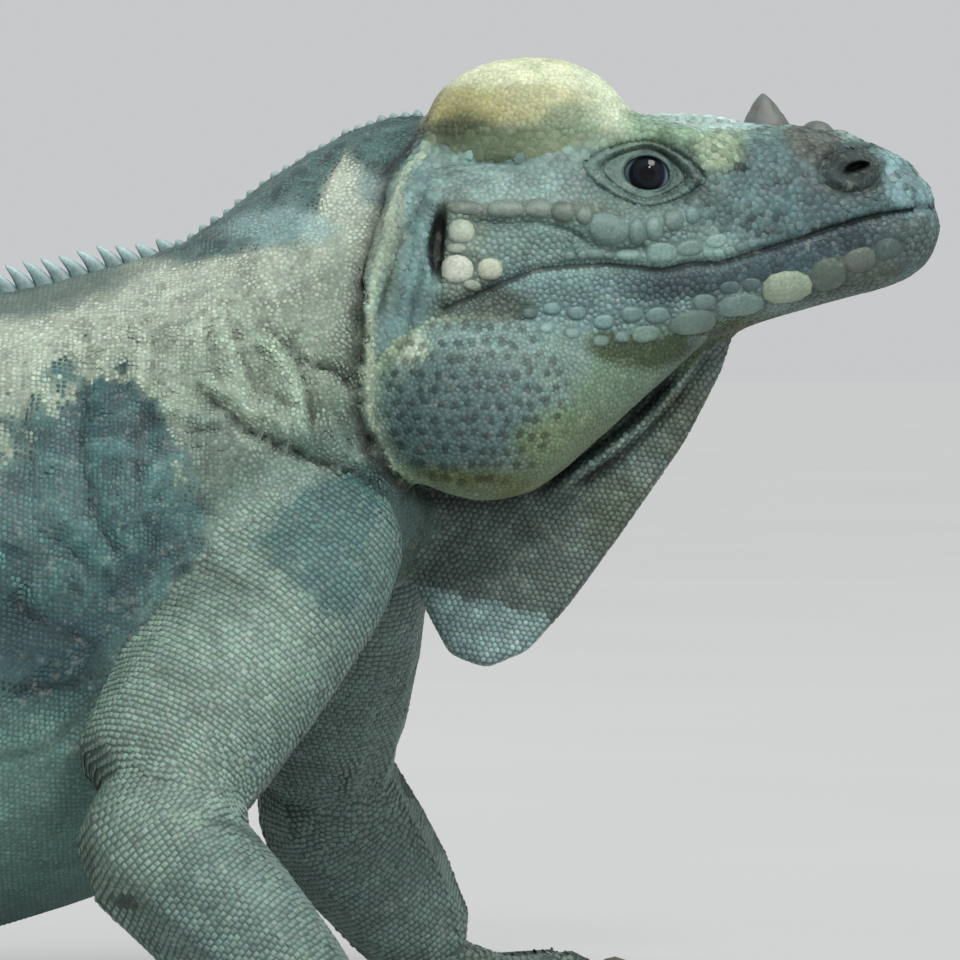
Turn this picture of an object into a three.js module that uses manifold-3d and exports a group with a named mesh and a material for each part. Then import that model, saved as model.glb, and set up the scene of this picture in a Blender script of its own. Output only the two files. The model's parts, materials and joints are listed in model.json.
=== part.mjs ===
// A life-size rhinoceros iguana: an adult male, head raised, who rests on hands, feet, belly and tail.
// Millimetres. +X points out of the snout, +Y to the animal's left, +Z up. The floor is z = 0.
// The animal is modelled whole from tapered forms, and parted into named pieces by thin cuts.
import * as THREE from "three";
import { mergeVertices } from "three/addons/utils/BufferGeometryUtils.js";
import Module from "manifold-3d";

const wasm = await Module();
wasm.setup();

// ---------------------------------------------------------------- driving dimensions

const GAP = 0.3; // left between neighbouring pieces
const FAR = 600; // reaches past the animal on any side
const UP = new THREE.Vector3(0, 0, 1);
const LEFT = 1;
const RIGHT = -1;

// The head, neck and trunk are sections across the body. x is where a section stands, top and bottom its
// highest and lowest points, wide the level of its half width, crown and keel its squareness above and below.
const HEAD = sections(["x", "top", "bottom", "wide", "half", "crown", "keel"], [
  [93.4, 166.0, 160.4, 163.5, 3.2, 2.0, 2.0],
  [91.0, 172.0, 155.2, 164, 8.6, 2.1, 2.1],
  [86.0, 177.0, 151.8, 164, 12.0, 2.2, 2.2],
  [80.0, 179.8, 149.8, 163, 14.3, 2.3, 2.3],
  [73.0, 181.8, 148.2, 161, 16.2, 2.4, 2.4],
  [64.0, 183.6, 145.6, 159, 18.6, 2.5, 2.5],
  [54.0, 183.9, 142.6, 157, 21.8, 2.9, 2.5],
  [43.0, 184.6, 137.6, 156, 25.4, 3.4, 2.4],
  [32.0, 185.2, 127.6, 155, 28.6, 3.8, 2.3],
  [21.0, 185.4, 119.6, 154, 31.6, 3.4, 2.2],
  [10.0, 184.8, 114.6, 152, 34.2, 2.5, 2.1],
  [-2.0, 183.8, 111.6, 150, 36.4, 2.3, 2.1],
  [-12.0, 184.4, 110.0, 148, 37.0, 2.1, 2.1],
  [-22.0, 184.2, 110.0, 146, 36.0, 2.0, 2.0],
  [-34.0, 178.0, 112.0, 144, 33.0, 2.0, 2.0],
]);

// Distances along the body are counted back from x = 0.
const BODY = sections(["along", "top", "bottom", "wide", "half", "crown", "keel"], [
  [-8, 180.0, 120.0, 148, 24.0, 1.9, 2.0],
  [4, 186.6, 109.0, 146, 30.5, 1.7, 2.0],
  [14, 186.6, 94.0, 142, 33.5, 1.6, 2.0],
  [24, 184.0, 76.0, 136, 37.5, 1.6, 2.0],
  [36, 177.8, 57.0, 127, 42.0, 1.65, 2.0],
  [48, 169.0, 43.0, 117, 46.0, 1.7, 2.0],
  [62, 158.8, 33.0, 107, 49.5, 1.75, 2.1],
  [78, 155.0, 26.0, 98, 52.5, 1.8, 2.2],
  [96, 149.4, 21.0, 91, 56.0, 1.85, 2.3],
  [125, 147.6, 12.6, 82, 60.0, 1.9, 2.4],
  [165, 145.0, 4.6, 73, 63.5, 1.9, 2.5],
  [210, 140.4, -1.0, 65, 65.0, 1.9, 2.6],
  [260, 132.4, -1.4, 58, 64.0, 1.9, 2.6],
  [310, 120.0, -1.4, 52, 59.0, 1.9, 2.6],
  [350, 107.4, -1.2, 47, 50.5, 1.9, 2.5],
  [385, 94.8, -0.8, 43, 41.0, 1.9, 2.3],
  [415, 83.6, 1.6, 40, 33.5, 1.9, 2.2],
  [450, 73.6, 3.0, 37, 27.5, 1.9, 2.1],
]);
const TAIL = sections(["along", "top", "bottom", "wide", "half", "crown", "keel"], [
  [385, 94.0, -0.8, 43, 40.4, 1.9, 2.3],
  [425, 80.6, 2.2, 39.6, 31.6, 1.9, 2.15],
  [455, 72.0, 3.0, 36.6, 26.6, 1.9, 2.1],
  [500, 61.0, 1.0, 31, 21.8, 1.8, 2.2],
  [560, 51.0, -0.8, 25, 17.4, 1.8, 2.3],
  [640, 42.0, -1.0, 20, 14.0, 1.8, 2.4],
  [740, 32.6, -1.0, 15, 10.8, 1.8, 2.4],
  [840, 24.0, -0.9, 11, 8.0, 1.8, 2.4],
  [940, 16.0, -0.8, 7, 5.4, 1.8, 2.4],
  [1020, 9.6, -0.7, 4, 3.3, 1.9, 2.3],
  [1078, 4.4, -0.5, 1.8, 1.5, 2.0, 2.2],
]);

// The body's line seen from above: straight to the shoulders, a shallow bend in the trunk, and a swept tail.
const LINE = new THREE.CatmullRomCurve3(
  [
    [12, 0], [0, 0], [-60, 0], [-130, 0], [-220, 5], [-310, 9], [-400, 4],
    [-490, -8], [-600, -10], [-720, 14], [-840, 54], [-950, 82], [-1060, 80], [-1120, 66],
  ].map(([x, y]) => new THREE.Vector3(x, y, 0)),
  false,
  "centripetal",
);
const LINE_STARTS = 12; // how far ahead of x = 0 the line begins

// Where the body is parted, along its line.
const PARTS = [
  ["chest", 50, 150],
  ["belly", 150, 285],
  ["hips", 285, 425],
  ["tail_1", 425, 560],
  ["tail_2", 560, 720],
  ["tail_3", 720, 895],
  ["tail_4", 895, 1090],
];

// The closed mouth, from past the snout back to its corner behind the eye.
const MOUTH = [
  [110, 167.6], [90, 166.2], [74, 163.0], [56, 157.4], [44, 155.0],
  [24, 154.6], [8, 152.4], [-6, 146.6], [-50, 134],
];
// The back of the head, where a fold of skin overhangs the neck.
const COLLAR = [
  [-2, 218], [-9.6, 187], [-18, 166], [-22.6, 140], [-20.2, 120], [-12, 108], [8, 88],
];

const EYE = { x: 33.6, z: 173.0, depth: 17.2, radius: 6.0 };
const SOCKET = { half: [9.0, 4.6, 3.7], y: 24.7 };
const BROW = { x: 38.5, z: 179.6, y: 19.6, half: [15.5, 5.2, 4.2], slope: 13 };
const CASQUE = { x: 9.6, z: 181.4, y: 13.6, half: [22.6, 14.8, 15.8], slope: -3 };
const JOWL = { x: -0.5, z: 127.6, y: 27.2, half: [23.2, 18.2, 19.6], slope: 24 };
const JOWL_TIP = { x: 41.0, z: 140.6, y: 13.6, half: [4.6, 4.6, 4.6] }; // where it dies out along the jaw
const EAR = { x: -9.0, z: 158.6, y: 34.6, half: [3.8, 3.2, 8.6], thickness: 1.6, slope: -8 };
const NOSTRIL = { x: 74.8, z: 174.4, y: 13.6, half: [3.2, 2.2, 1.3], slope: -20 };
const HORN_SUNK = 2; // how deep a horn's foot starts under the snout
const HORNS = {
  horn_rear: { x: 57.9, foot: 182.6, tip: [57.6, 189.8], half: [4.9, 3.3] },
  horn_front: { x: 67.6, foot: 180.9, tip: [68.4, 185.6], half: [4.4, 3.0] },
};
// The throat's flap, in the middle plane: where it stands, its lower edge and its half thickness.
const DEWLAP = sections(["x", "bottom", "top", "half"], [
  [53.0, 141.5, 147, 1.2],
  [50.0, 135.0, 148, 2.8],
  [44.5, 122.6, 146, 4.4],
  [36.0, 110.6, 140, 5.4],
  [26.0, 95.0, 134, 5.8],
  [17.0, 83.0, 130, 5.8],
  [10.0, 75.2, 126, 5.6],
  [3.0, 71.8, 124, 5.6],
  [-3.5, 72.8, 122, 5.8],
  [-8.5, 78.6, 120, 5.8],
  [-12.0, 88.4, 117, 5.2],
  [-15.0, 96.4, 113, 4.0],
  [-17.6, 102.0, 108, 2.0],
]);

// Each limb as joints [x, out from the middle, z], and half widths [in its plane of bend, across it].
// A hand is turned outwards by a negative turn, in degrees, and its knuckles lie its reach ahead of the wrist.
const FRONT_LIMBS = {
  right: {
    side: RIGHT,
    joints: { root: [-22, 27, 112], middle: [-67.5, 66, 47.5], end: [-29.5, 84, 10.5] },
    hand: { turn: -16, reach: 19 },
  },
  left: {
    side: LEFT,
    joints: { root: [-25, 27, 110], middle: [-36, 75, 48], end: [-10.5, 90, 10.5] },
    hand: { turn: -12, reach: 19 },
  },
};
const FRONT_WIDTHS = {
  upper: [[12, 9], [19.0, 14.0], [20.4, 15.6], [20.4, 16.8], [19.6, 17.2], [17.0, 14.8]],
  lower: [[9.4, 10.6], [17.4, 17.0], [17.0, 17.4], [15.4, 16.2], [13.2, 14.6], [10.6, 11.2]],
};
const HIND_LIMBS = {
  right: {
    side: RIGHT,
    joints: { root: [-372, 20, 54], middle: [-316, 96, 50], end: [-378, 122, 13] },
    hand: { turn: -30, reach: 34 },
  },
  left: {
    side: LEFT,
    joints: { root: [-372, 30, 54], middle: [-322, 108, 49], end: [-386, 130, 13] },
    hand: { turn: -24, reach: 34 },
  },
};
const HIND_WIDTHS = {
  upper: [[20, 18], [24, 21.5], [22.5, 20.5], [19.5, 18.0], [16.4, 15.2], [13.6, 12.6]],
  lower: [[8.4, 8.4], [15.2, 14.0], [15.4, 13.6], [12.8, 11.6], [10.2, 9.2], [8.8, 7.6]],
};

// How far a lower limb reaches past its joint at the elbow or knee, and past the wrist or ankle.
const OVERLAP = { bend: 8, end: 4 };

// Toes: where each leaves the palm (share across it), its direction off the palm's, its length and its girth.
const FINGERS = [
  { at: -0.95, turn: 62, length: 16, half: 3.5 },
  { at: -0.5, turn: 26, length: 24, half: 3.8 },
  { at: 0.0, turn: 4, length: 29, half: 3.9 },
  { at: 0.5, turn: -16, length: 28, half: 3.8 },
  { at: 0.95, turn: -50, length: 18, half: 3.5 },
];
const TOES = [
  { at: -0.95, turn: 44, length: 20, half: 3.7 },
  { at: -0.5, turn: 20, length: 32, half: 4.0 },
  { at: 0.0, turn: 2, length: 45, half: 4.2 },
  { at: 0.5, turn: -16, length: 56, half: 4.2 },
  { at: 0.9, turn: -64, length: 30, half: 3.7 },
];
// Along a toe: how high its middle lies and how thick it is, both in shares of its half width.
const TOE_RISE = [[0, 1.1], [0.4, 1.6], [0.75, 0.74], [1, 0.55]];
const TOE_GIRTH = [1.05, 1, 0.92, 0.98, 0.9, 0.62];
// A palm's half height and half width on the way from the heel to the knuckles, in shares of its full ones.
const PALM_GIRTH = [[0.62, 0.55], [0.8, 0.72], [0.74, 0.95], [0.62, 1.0], [0.5, 0.9]];
const PALM = {
  front: { half: 12.8, height: 8.6, heel: 7, spread: 0.72 },
  hind: { half: 13.6, height: 9.6, heel: 7, spread: 0.72 },
};
// A claw's half heights and half widths from its root to its tip, in shares of its own half width.
const CLAW_GIRTH = [[1, 0.8], [1, 0.75], [0.7, 0.5], [0.15, 0.12]];
const CLAW = { front: { length: 11.5, half: 2.1, sunk: 1.6 }, hind: { length: 12, half: 2.2, sunk: 1.6 } };

// The spines of the back and tail lean backwards. Small ones stud the ridge of the neck.
const NECK_STUDS = { from: -2, to: 70, pitch: 7, height: () => 1.9, length: 5, width: 2.4 };
const BACK_SPINES = { from: 76, to: 424, pitch: 8.8, height: backSpine, length: 5.8, width: 3.0 };
const TAIL_SPINES = { from: 430, to: 900, pitch: 17, height: tailSpine, length: 9, width: 3.2 };
// How deep a spine starts in the ridge, and how far back its tip lies for each mm of height.
const SPINE = { sunk: 1.6, lean: 0.45 };

// Facets around each form, and from one of its ends to the other.
// An odd number around gives a crest on top and a flat to rest on underneath.
const FACETS = {
  head: [18, 15],
  trunk: [17, 21],
  tail: [11, 18],
  casque: [11, 7],
  jowl: [10, 7],
  jowlTip: [6, 4],
  brow: [8, 5],
  socket: [8, 4],
  eye: [10, 6],
  nostril: [6, 4],
  ear: [8, 4],
  horn: [8, 5],
  dewlap: [7, 10],
  upper: [9, 6],
  lower: [8, 6],
  palm: [7, 4],
  toe: [5, 4],
  claw: [4, 4],
};

const COLOURS = {
  skin: [0x7f8b80, 0.62],
  pale: [0xa89f6e, 0.6],
  horn: [0x8fa3a3, 0.42],
  claw: [0x3b3a33, 0.35],
  eye: [0x0d1218, 0.06],
};

// ---------------------------------------------------------------- helpers

const { degToRad, lerp, smoothstep } = THREE.MathUtils;

// A table of stations as a function: a share of the way along, from 0 to 1, gives each named column there.
function sections(names, rows) {
  const curve = new THREE.CubicInterpolant(
    rows.map((row, i) => i / (rows.length - 1)),
    rows.flat(),
    names.length,
  );
  return (share) => {
    const values = curve.evaluate(share);
    return Object.fromEntries(names.map((name, i) => [name, values[i]]));
  };
}

// The section of a body table at a distance along the body's line.
function sectionAt(table, along) {
  let [low, high] = [0, 1];
  for (let halving = 0; halving < 30; halving++) {
    const middle = (low + high) / 2;
    if (table(middle).along < along) low = middle;
    else high = middle;
  }
  return table(low);
}

// three.js geometry as a solid with its faces pointing out.
function solid(geometry) {
  const bare = geometry.clone();
  bare.deleteAttribute("normal");
  bare.deleteAttribute("uv");
  const merged = mergeVertices(bare, 1e-4);
  const corners = Array.from(merged.index.array);
  const faces = [];
  for (let i = 0; i < corners.length; i += 3) {
    const [a, b, c] = corners.slice(i, i + 3);
    if (a !== b && b !== c && c !== a) faces.push([a, b, c]);
  }
  const build = (turned) =>
    new wasm.Manifold(
      new wasm.Mesh({
        numProp: 3,
        vertProperties: merged.attributes.position.array,
        triVerts: new Uint32Array(faces.flatMap(([a, b, c]) => (turned ? [a, c, b] : [a, b, c]))),
      }),
    );
  const made = build(false);
  return made.volume() > 0 ? made : build(true);
}

// The rings of a form are evenly spread, or bunched towards its ends to round them.
const even = (share) => share;
const bunched = (share) => (1 - Math.cos(Math.PI * share)) / 2;

// A closed form: a sphere's rows become rings from one end to the other, and its poles close them.
// place gives the point at a share of the way along, an angle and a size, which is 0 on a pole and 1 on a ring.
function form([around, along], place, spread = even) {
  const geometry = new THREE.SphereGeometry(1, around, along);
  const point = geometry.attributes.position;
  for (let i = 0; i < point.count; i++) {
    const row = Math.floor(i / (around + 1));
    const angle = ((i % (around + 1)) % around) * ((2 * Math.PI) / around);
    const onPole = row === 0 || row === along;
    const { x, y, z } = place(spread(row / along), angle, onPole ? 0 : 1);
    point.setXYZ(i, x, y, z);
  }
  return solid(geometry);
}

const power = (value, exponent) => Math.sign(value) * Math.abs(value) ** exponent;

// A point of a section: angle 0 is its top, and a quarter turn its left side.
function onSection(section, angle, size, grow) {
  const up = Math.cos(angle);
  const squareness = up > 0 ? section.crown : section.keel;
  const reach = up > 0 ? section.top - section.wide : section.wide - section.bottom;
  return {
    across: size * (section.half + grow) * power(Math.sin(angle), 2 / squareness),
    z: section.wide + size * (reach + grow) * power(up, 2 / squareness),
  };
}

function headForm(grow = 0) {
  return form(FACETS.head, (share, angle, size) => {
    const section = HEAD(share);
    const { across, z } = onSection(section, angle, size, grow);
    return { x: section.x, y: across, z };
  });
}

// A place along the body's line, with its direction there.
function onLine(along) {
  const share = (along + LINE_STARTS) / LINE.getLength();
  return { point: LINE.getPointAt(share), tangent: LINE.getTangentAt(share) };
}

// The trunk or the tail, flat where it meets the floor.
function bodyForm(table, facets, grow = 0) {
  return form(facets, (share, angle, size) => {
    const section = table(share);
    const { across, z } = onSection(section, angle, size, grow);
    const { point, tangent } = onLine(section.along);
    // The tangent points backwards, so the left side lies at (tangent.y, -tangent.x).
    return { x: point.x + tangent.y * across, y: point.y - tangent.x * across, z: Math.max(z, -grow) };
  });
}

// A tube through points, flat where it meets the floor.
// Each pair of widths is half its size along upward and across.
function tube(facets, points, widths, upward, grow = 0) {
  const curve = new THREE.CatmullRomCurve3(points, false, "centripetal");
  const last = widths.length - 1;
  const place = (share, angle, size) => {
    const centre = curve.getPointAt(share);
    const ahead = curve.getTangentAt(share);
    const across = new THREE.Vector3().crossVectors(ahead, upward).normalize();
    const up = new THREE.Vector3().crossVectors(across, ahead);
    const i = Math.min(Math.floor(share * last), last - 1);
    const [a, b] = [0, 1].map((k) => lerp(widths[i][k], widths[i + 1][k], share * last - i));
    const pastEnd = size ? 0 : grow * (share < 0.5 ? -1 : 1);
    centre
      .addScaledVector(up, size * (a + grow) * Math.cos(angle))
      .addScaledVector(across, size * (b + grow) * Math.sin(angle))
      .addScaledVector(ahead, pastEnd);
    return centre.setZ(Math.max(centre.z, -grow));
  };
  return form(facets, place, bunched);
}

// An ellipsoid on one side of the head, its nose tilted down by slope degrees.
function ellipsoid({ x, y, z, half, slope = 0 }, side, facets, grow = 0) {
  const geometry = new THREE.SphereGeometry(1, ...facets);
  geometry.scale(half[0] + grow, half[2] + grow, half[1] + grow);
  geometry.rotateX(Math.PI / 2);
  geometry.rotateY(degToRad(slope));
  geometry.translate(x, side * y, z);
  return solid(geometry);
}

// Everything inside an outline of the middle plane, from the animal's far left to its far right.
function profile(outline) {
  const shape = new THREE.Shape(outline.map(([x, z]) => new THREE.Vector2(x, z)));
  const geometry = new THREE.ExtrudeGeometry(shape, { depth: 2 * FAR, bevelEnabled: false });
  geometry.rotateX(Math.PI / 2);
  geometry.translate(0, FAR, 0);
  return solid(geometry);
}

// Everything behind a place on the body's line.
function behind(along) {
  const { point, tangent } = onLine(along);
  const geometry = new THREE.BoxGeometry(2 * FAR, 2 * FAR, 2 * FAR);
  geometry.translate(FAR, 0, 0);
  geometry.rotateZ(Math.atan2(tangent.y, tangent.x));
  geometry.translate(point.x, point.y, 0);
  return solid(geometry);
}

// Everything on one side of the middle plane, clear of the other side by the gap.
function half(side) {
  const geometry = new THREE.BoxGeometry(FAR, FAR, FAR);
  geometry.translate(0, side * ((FAR + GAP) / 2), 0);
  return solid(geometry);
}

const shifted = (outline, dx, dz) => outline.map(([x, z]) => [x + dx, z + dz]);
const joined = (pieces) => pieces.reduce((whole, piece) => whole.add(piece));
const SIDES = [["left", LEFT], ["right", RIGHT]];

const root = new THREE.Group();

function addPiece(name, shape, [colour, roughness]) {
  const { vertProperties, triVerts } = shape.getMesh();
  const geometry = new THREE.BufferGeometry();
  geometry.setAttribute("position", new THREE.BufferAttribute(new Float32Array(vertProperties), 3));
  geometry.setIndex(new THREE.BufferAttribute(new Uint32Array(triVerts), 1));
  const material = new THREE.MeshStandardMaterial({ color: colour, roughness, metalness: 0 });
  const mesh = new THREE.Mesh(geometry, material);
  mesh.name = name;
  root.add(mesh);
}

// ---------------------------------------------------------------- spines

// The heights of the spines: they rise behind the shoulders, and sink towards the hips and the tail's end.
function backSpine(along) {
  return 3.0 + 5.2 * smoothstep(along, 72, 100) - 4.0 * smoothstep(along, 250, 415);
}

function tailSpine(along) {
  return 4.2 + 2.6 * smoothstep(along, 425, 500) - 5.4 * smoothstep(along, 520, 900);
}

// A spine on the ridge: a four-sided cone that leans backwards.
function spine(table, along, { height, length, width }) {
  const tall = height(along) + SPINE.sunk;
  const cone = new THREE.ConeGeometry(1, tall, 4);
  cone.translate(0, tall / 2 - SPINE.sunk, 0);
  cone.rotateX(Math.PI / 2);
  cone.scale(length / 2, width / 2, 1);
  const places = cone.attributes.position;
  for (let i = 0; i < places.count; i++) {
    places.setX(i, places.getX(i) + SPINE.lean * Math.max(places.getZ(i), 0));
  }
  const { point, tangent } = onLine(along);
  cone.rotateZ(Math.atan2(tangent.y, tangent.x));
  cone.translate(point.x, point.y, sectionAt(table, along).top);
  return solid(cone);
}

// The spines of a row that stand between two places, clear of both.
function spines(table, row, from, to) {
  const made = [];
  for (let along = row.from; along < Math.min(row.to, to) - row.length / 2; along += row.pitch) {
    if (along > from + row.length / 2) made.push(spine(table, along, row));
  }
  return made;
}

// ---------------------------------------------------------------- head

const WAY_DOWN = 60;
const WAY_UP = 240;
const WAY_AHEAD = 130;
const jawSide = [...MOUTH, [MOUTH.at(-1)[0], WAY_DOWN], [MOUTH[0][0], WAY_DOWN]];
const skullSide = [...MOUTH, [MOUTH.at(-1)[0], WAY_UP], [MOUTH[0][0], WAY_UP]];
const headSide = [...COLLAR, [WAY_AHEAD, WAY_DOWN], [WAY_AHEAD, WAY_UP]];
const neckSide = [...COLLAR, [-FAR, WAY_DOWN], [-FAR, WAY_UP]];

const aheadOfCollar = profile(shifted(headSide, GAP / 2, 0));
const wholeHead = headForm().intersect(aheadOfCollar);
const headGrown = headForm(GAP);

function ball(side, grow = 0) {
  const { x, z, depth, radius } = EYE;
  return ellipsoid({ x, y: depth, z, half: [radius, radius, radius] }, side, FACETS.eye, grow);
}

// The skull has a brow ridge over each eye, and hollows for the eyes, nostrils and ears.
function skull() {
  let made = wholeHead.intersect(profile(shifted(skullSide, 0, GAP / 2)));
  for (const [, side] of SIDES) {
    made = made
      .add(ellipsoid(BROW, side, FACETS.brow))
      .subtract(ellipsoid({ ...EYE, ...SOCKET }, side, FACETS.socket))
      .subtract(ball(side, GAP))
      .subtract(ellipsoid(NOSTRIL, side, FACETS.nostril))
      .subtract(ellipsoid(EAR, side, FACETS.ear));
  }
  return made;
}

// The eardrum is a thin oval skin at the bottom of its hollow.
function eardrum(side) {
  const sunk = { ...EAR, y: EAR.y - EAR.half[1] + EAR.thickness };
  return ellipsoid(sunk, side, FACETS.ear, -GAP).intersect(ellipsoid(EAR, side, FACETS.ear, -GAP));
}

// A jowl swells below the ear and runs forward to a point along the jaw.
function jowl(side, grow = 0) {
  return wasm.Manifold.hull([
    ellipsoid(JOWL, side, FACETS.jowl, grow),
    ellipsoid(JOWL_TIP, side, FACETS.jowlTip, grow),
  ]);
}

// A horn tapers along a curve to a blunt tip.
function horn({ x, foot, tip, half }) {
  const made = form(FACETS.horn, (share, angle, size) => {
    const taper = size * (1 - share ** 1.7) ** 0.8;
    return {
      x: lerp(x, tip[0], share) + half[0] * taper * Math.cos(angle),
      y: half[1] * taper * Math.sin(angle),
      z: lerp(foot - HORN_SUNK, tip[1], share),
    };
  });
  return made.subtract(headGrown);
}

addPiece("head", skull(), COLOURS.skin);
addPiece("lower_jaw", wholeHead.intersect(profile(shifted(jawSide, 0, -GAP / 2))), COLOURS.skin);
for (const [name, side] of SIDES) {
  addPiece(`eye_${name}`, ball(side), COLOURS.eye);
  addPiece(`ear_${name}`, eardrum(side), COLOURS.skin);
  const casque = ellipsoid(CASQUE, side, FACETS.casque).intersect(half(side)).intersect(aheadOfCollar);
  const browGrown = ellipsoid(BROW, side, FACETS.brow, GAP);
  addPiece(`casque_${name}`, casque.subtract(headGrown).subtract(browGrown), COLOURS.pale);
  addPiece(`jowl_${name}`, jowl(side).intersect(aheadOfCollar).subtract(headGrown), COLOURS.skin);
}
for (const [name, sizes] of Object.entries(HORNS)) addPiece(name, horn(sizes), COLOURS.horn);

// ---------------------------------------------------------------- neck, trunk and tail

const trunk = bodyForm(BODY, FACETS.trunk);
const trunkGrown = bodyForm(BODY, FACETS.trunk, GAP);
const tail = bodyForm(TAIL, FACETS.tail);

const [[, neckEnd]] = PARTS;
const behindCollar = profile(shifted(neckSide, -GAP / 2, 0));
const neck = joined([trunk, ...spines(BODY, NECK_STUDS, 0, neckEnd)]);
addPiece("neck", neck.intersect(behindCollar).subtract(behind(neckEnd - GAP / 2)), COLOURS.skin);
for (const [name, from, to] of PARTS) {
  const isTail = name.startsWith("tail");
  const [table, plain, rows] = isTail ? [TAIL, tail, [TAIL_SPINES]] : [BODY, trunk, [NECK_STUDS, BACK_SPINES]];
  const ridged = joined([plain, ...rows.flatMap((row) => spines(table, row, from, to))]);
  addPiece(name, ridged.intersect(behind(from + GAP / 2)).subtract(behind(to - GAP / 2)), COLOURS.skin);
}

// The dewlap is a thin flap that hangs from the jaw and throat in the middle plane.
function dewlap() {
  const thinness = 0.8;
  const flap = form(FACETS.dewlap, (share, angle, size) => {
    const { x, bottom, top, half: thick } = DEWLAP(share);
    const [middle, reach] = [(top + bottom) / 2, (top - bottom) / 2];
    return {
      x,
      y: size * thick * power(Math.sin(angle), thinness),
      z: middle + size * reach * power(Math.cos(angle), thinness),
    };
  });
  const throat = headGrown.intersect(profile(headSide));
  const neckGrown = trunkGrown.intersect(profile(shifted(neckSide, GAP / 2, 0)));
  const jowls = SIDES.map(([, side]) => jowl(side, GAP));
  return flap.subtract(throat).subtract(neckGrown).subtract(joined(jowls));
}
addPiece("dewlap", dewlap(), COLOURS.skin);

// ---------------------------------------------------------------- limbs

const beyond = (from, to, by) => new THREE.Vector3().lerpVectors(from, to, 1 + by / from.distanceTo(to));
const flipped = (widths) => widths.map(([inBend, acrossIt]) => [acrossIt, inBend]);

// The upper and the lower part of a limb. Its sections are widest in the plane of its three joints.
function limbForms({ side, joints }, widths) {
  const [start, bend, end] = ["root", "middle", "end"].map((joint) => {
    const [x, out, z] = joints[joint];
    return new THREE.Vector3(x, side * out, z);
  });
  const offPlane = new THREE.Vector3()
    .crossVectors(new THREE.Vector3().subVectors(bend, start), new THREE.Vector3().subVectors(end, bend))
    .normalize();
  const lowerPath = [beyond(end, bend, OVERLAP.bend), beyond(bend, end, OVERLAP.end)];
  return {
    end,
    upper: (grow) => tube(FACETS.upper, [start, bend], flipped(widths.upper), offPlane, grow),
    lower: (grow) => tube(FACETS.lower, lowerPath, flipped(widths.lower), offPlane, grow),
  };
}

// A hand or foot that lies flat, with its toes fanned out. Its forms are functions of how much they are grown.
function paw(wrist, { side, hand }, digits, palm, claw) {
  const heading = degToRad(-side * hand.turn);
  const ahead = new THREE.Vector3(Math.cos(heading), Math.sin(heading), 0);
  const outward = new THREE.Vector3(-ahead.y, ahead.x, 0).multiplyScalar(side);
  const heel = wrist.clone().setZ(palm.height * PALM_GIRTH[0][0]);
  const knuckles = heel.clone().addScaledVector(ahead, hand.reach).setZ(palm.height / 2);
  const palmWidths = PALM_GIRTH.map(([tall, wide]) => [tall * palm.height, wide * palm.half]);
  const palmPath = [beyond(knuckles, heel, palm.heel), heel, knuckles];
  const forms = [(grow) => tube(FACETS.palm, palmPath, palmWidths, UP, grow)];
  const nails = [];
  for (const { at, turn, length, half: thick } of digits) {
    // The outer toes leave the palm further back.
    const setBack = 3 + 6 * at * at;
    const direction = ahead.clone().applyAxisAngle(UP, degToRad(-side * turn));
    const base = knuckles.clone()
      .addScaledVector(outward, at * palm.half * palm.spread)
      .addScaledVector(ahead, -setBack);
    const on = (distance, height) => base.clone().addScaledVector(direction, distance).setZ(height);
    const path = TOE_RISE.map(([share, rise]) => on(share * length, rise * thick));
    const girth = TOE_GIRTH.map((share) => [share * thick, share * thick]);
    forms.push((grow) => tube(FACETS.toe, path, girth, UP, grow));
    const nailPath = [
      on(length - claw.sunk, thick * 0.8),
      on(length, thick),
      on(length + 0.55 * claw.length, thick * 0.9),
      on(length + 0.95 * claw.length, 0.8),
    ];
    const nailGirth = CLAW_GIRTH.map(([tall, wide]) => [tall * claw.half, wide * claw.half]);
    nails.push(tube(FACETS.claw, nailPath, nailGirth, UP));
  }
  return { flesh: (grow) => joined(forms.map((made) => made(grow))), nails };
}

const LIMBS = [
  ["front", ["upper_arm", "forearm", "hand"], FRONT_LIMBS, FRONT_WIDTHS, FINGERS],
  ["hind", ["thigh", "shank", "foot"], HIND_LIMBS, HIND_WIDTHS, TOES],
];
for (const [end, names, pair, widths, toes] of LIMBS) {
  for (const [side, pose] of Object.entries(pair)) {
    const limb = limbForms(pose, widths);
    const { flesh, nails } = paw(limb.end, pose, toes, PALM[end], CLAW[end]);
    const pieces = [
      limb.upper(0).subtract(headGrown),
      limb.lower(0).subtract(limb.upper(GAP)),
      flesh(0).subtract(limb.lower(GAP)),
    ];
    pieces.forEach((piece, i) => addPiece(`${names[i]}_${side}`, piece.subtract(trunkGrown), COLOURS.skin));
    const fleshGrown = flesh(GAP);
    nails.forEach((nail, i) => {
      addPiece(`claw_${end}_${side}_${i + 1}`, nail.subtract(fleshGrown), COLOURS.claw);
    });
  }
}

// ---------------------------------------------------------------- the origin

// The origin is on the floor, in the middle of the animal's length and width.
const box = new THREE.Box3().setFromObject(root);
root.position.set(-(box.min.x + box.max.x) / 2, -(box.min.y + box.max.y) / 2, 0);

export default root;
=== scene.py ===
"""Looks of a life-size rhinoceros iguana: skin, scales, crest, horns, claws, eyes and a stage."""

import json
import math

import bmesh
import bpy
import numpy as np
from numpy.linalg import norm
from bpy.props import FloatProperty, FloatVectorProperty, IntProperty, PointerProperty
from bpy.types import Operator, Panel, PropertyGroup
from mathutils import Matrix, Vector
from mathutils.bvhtree import BVHTree
from mathutils.kdtree import KDTree

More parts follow.
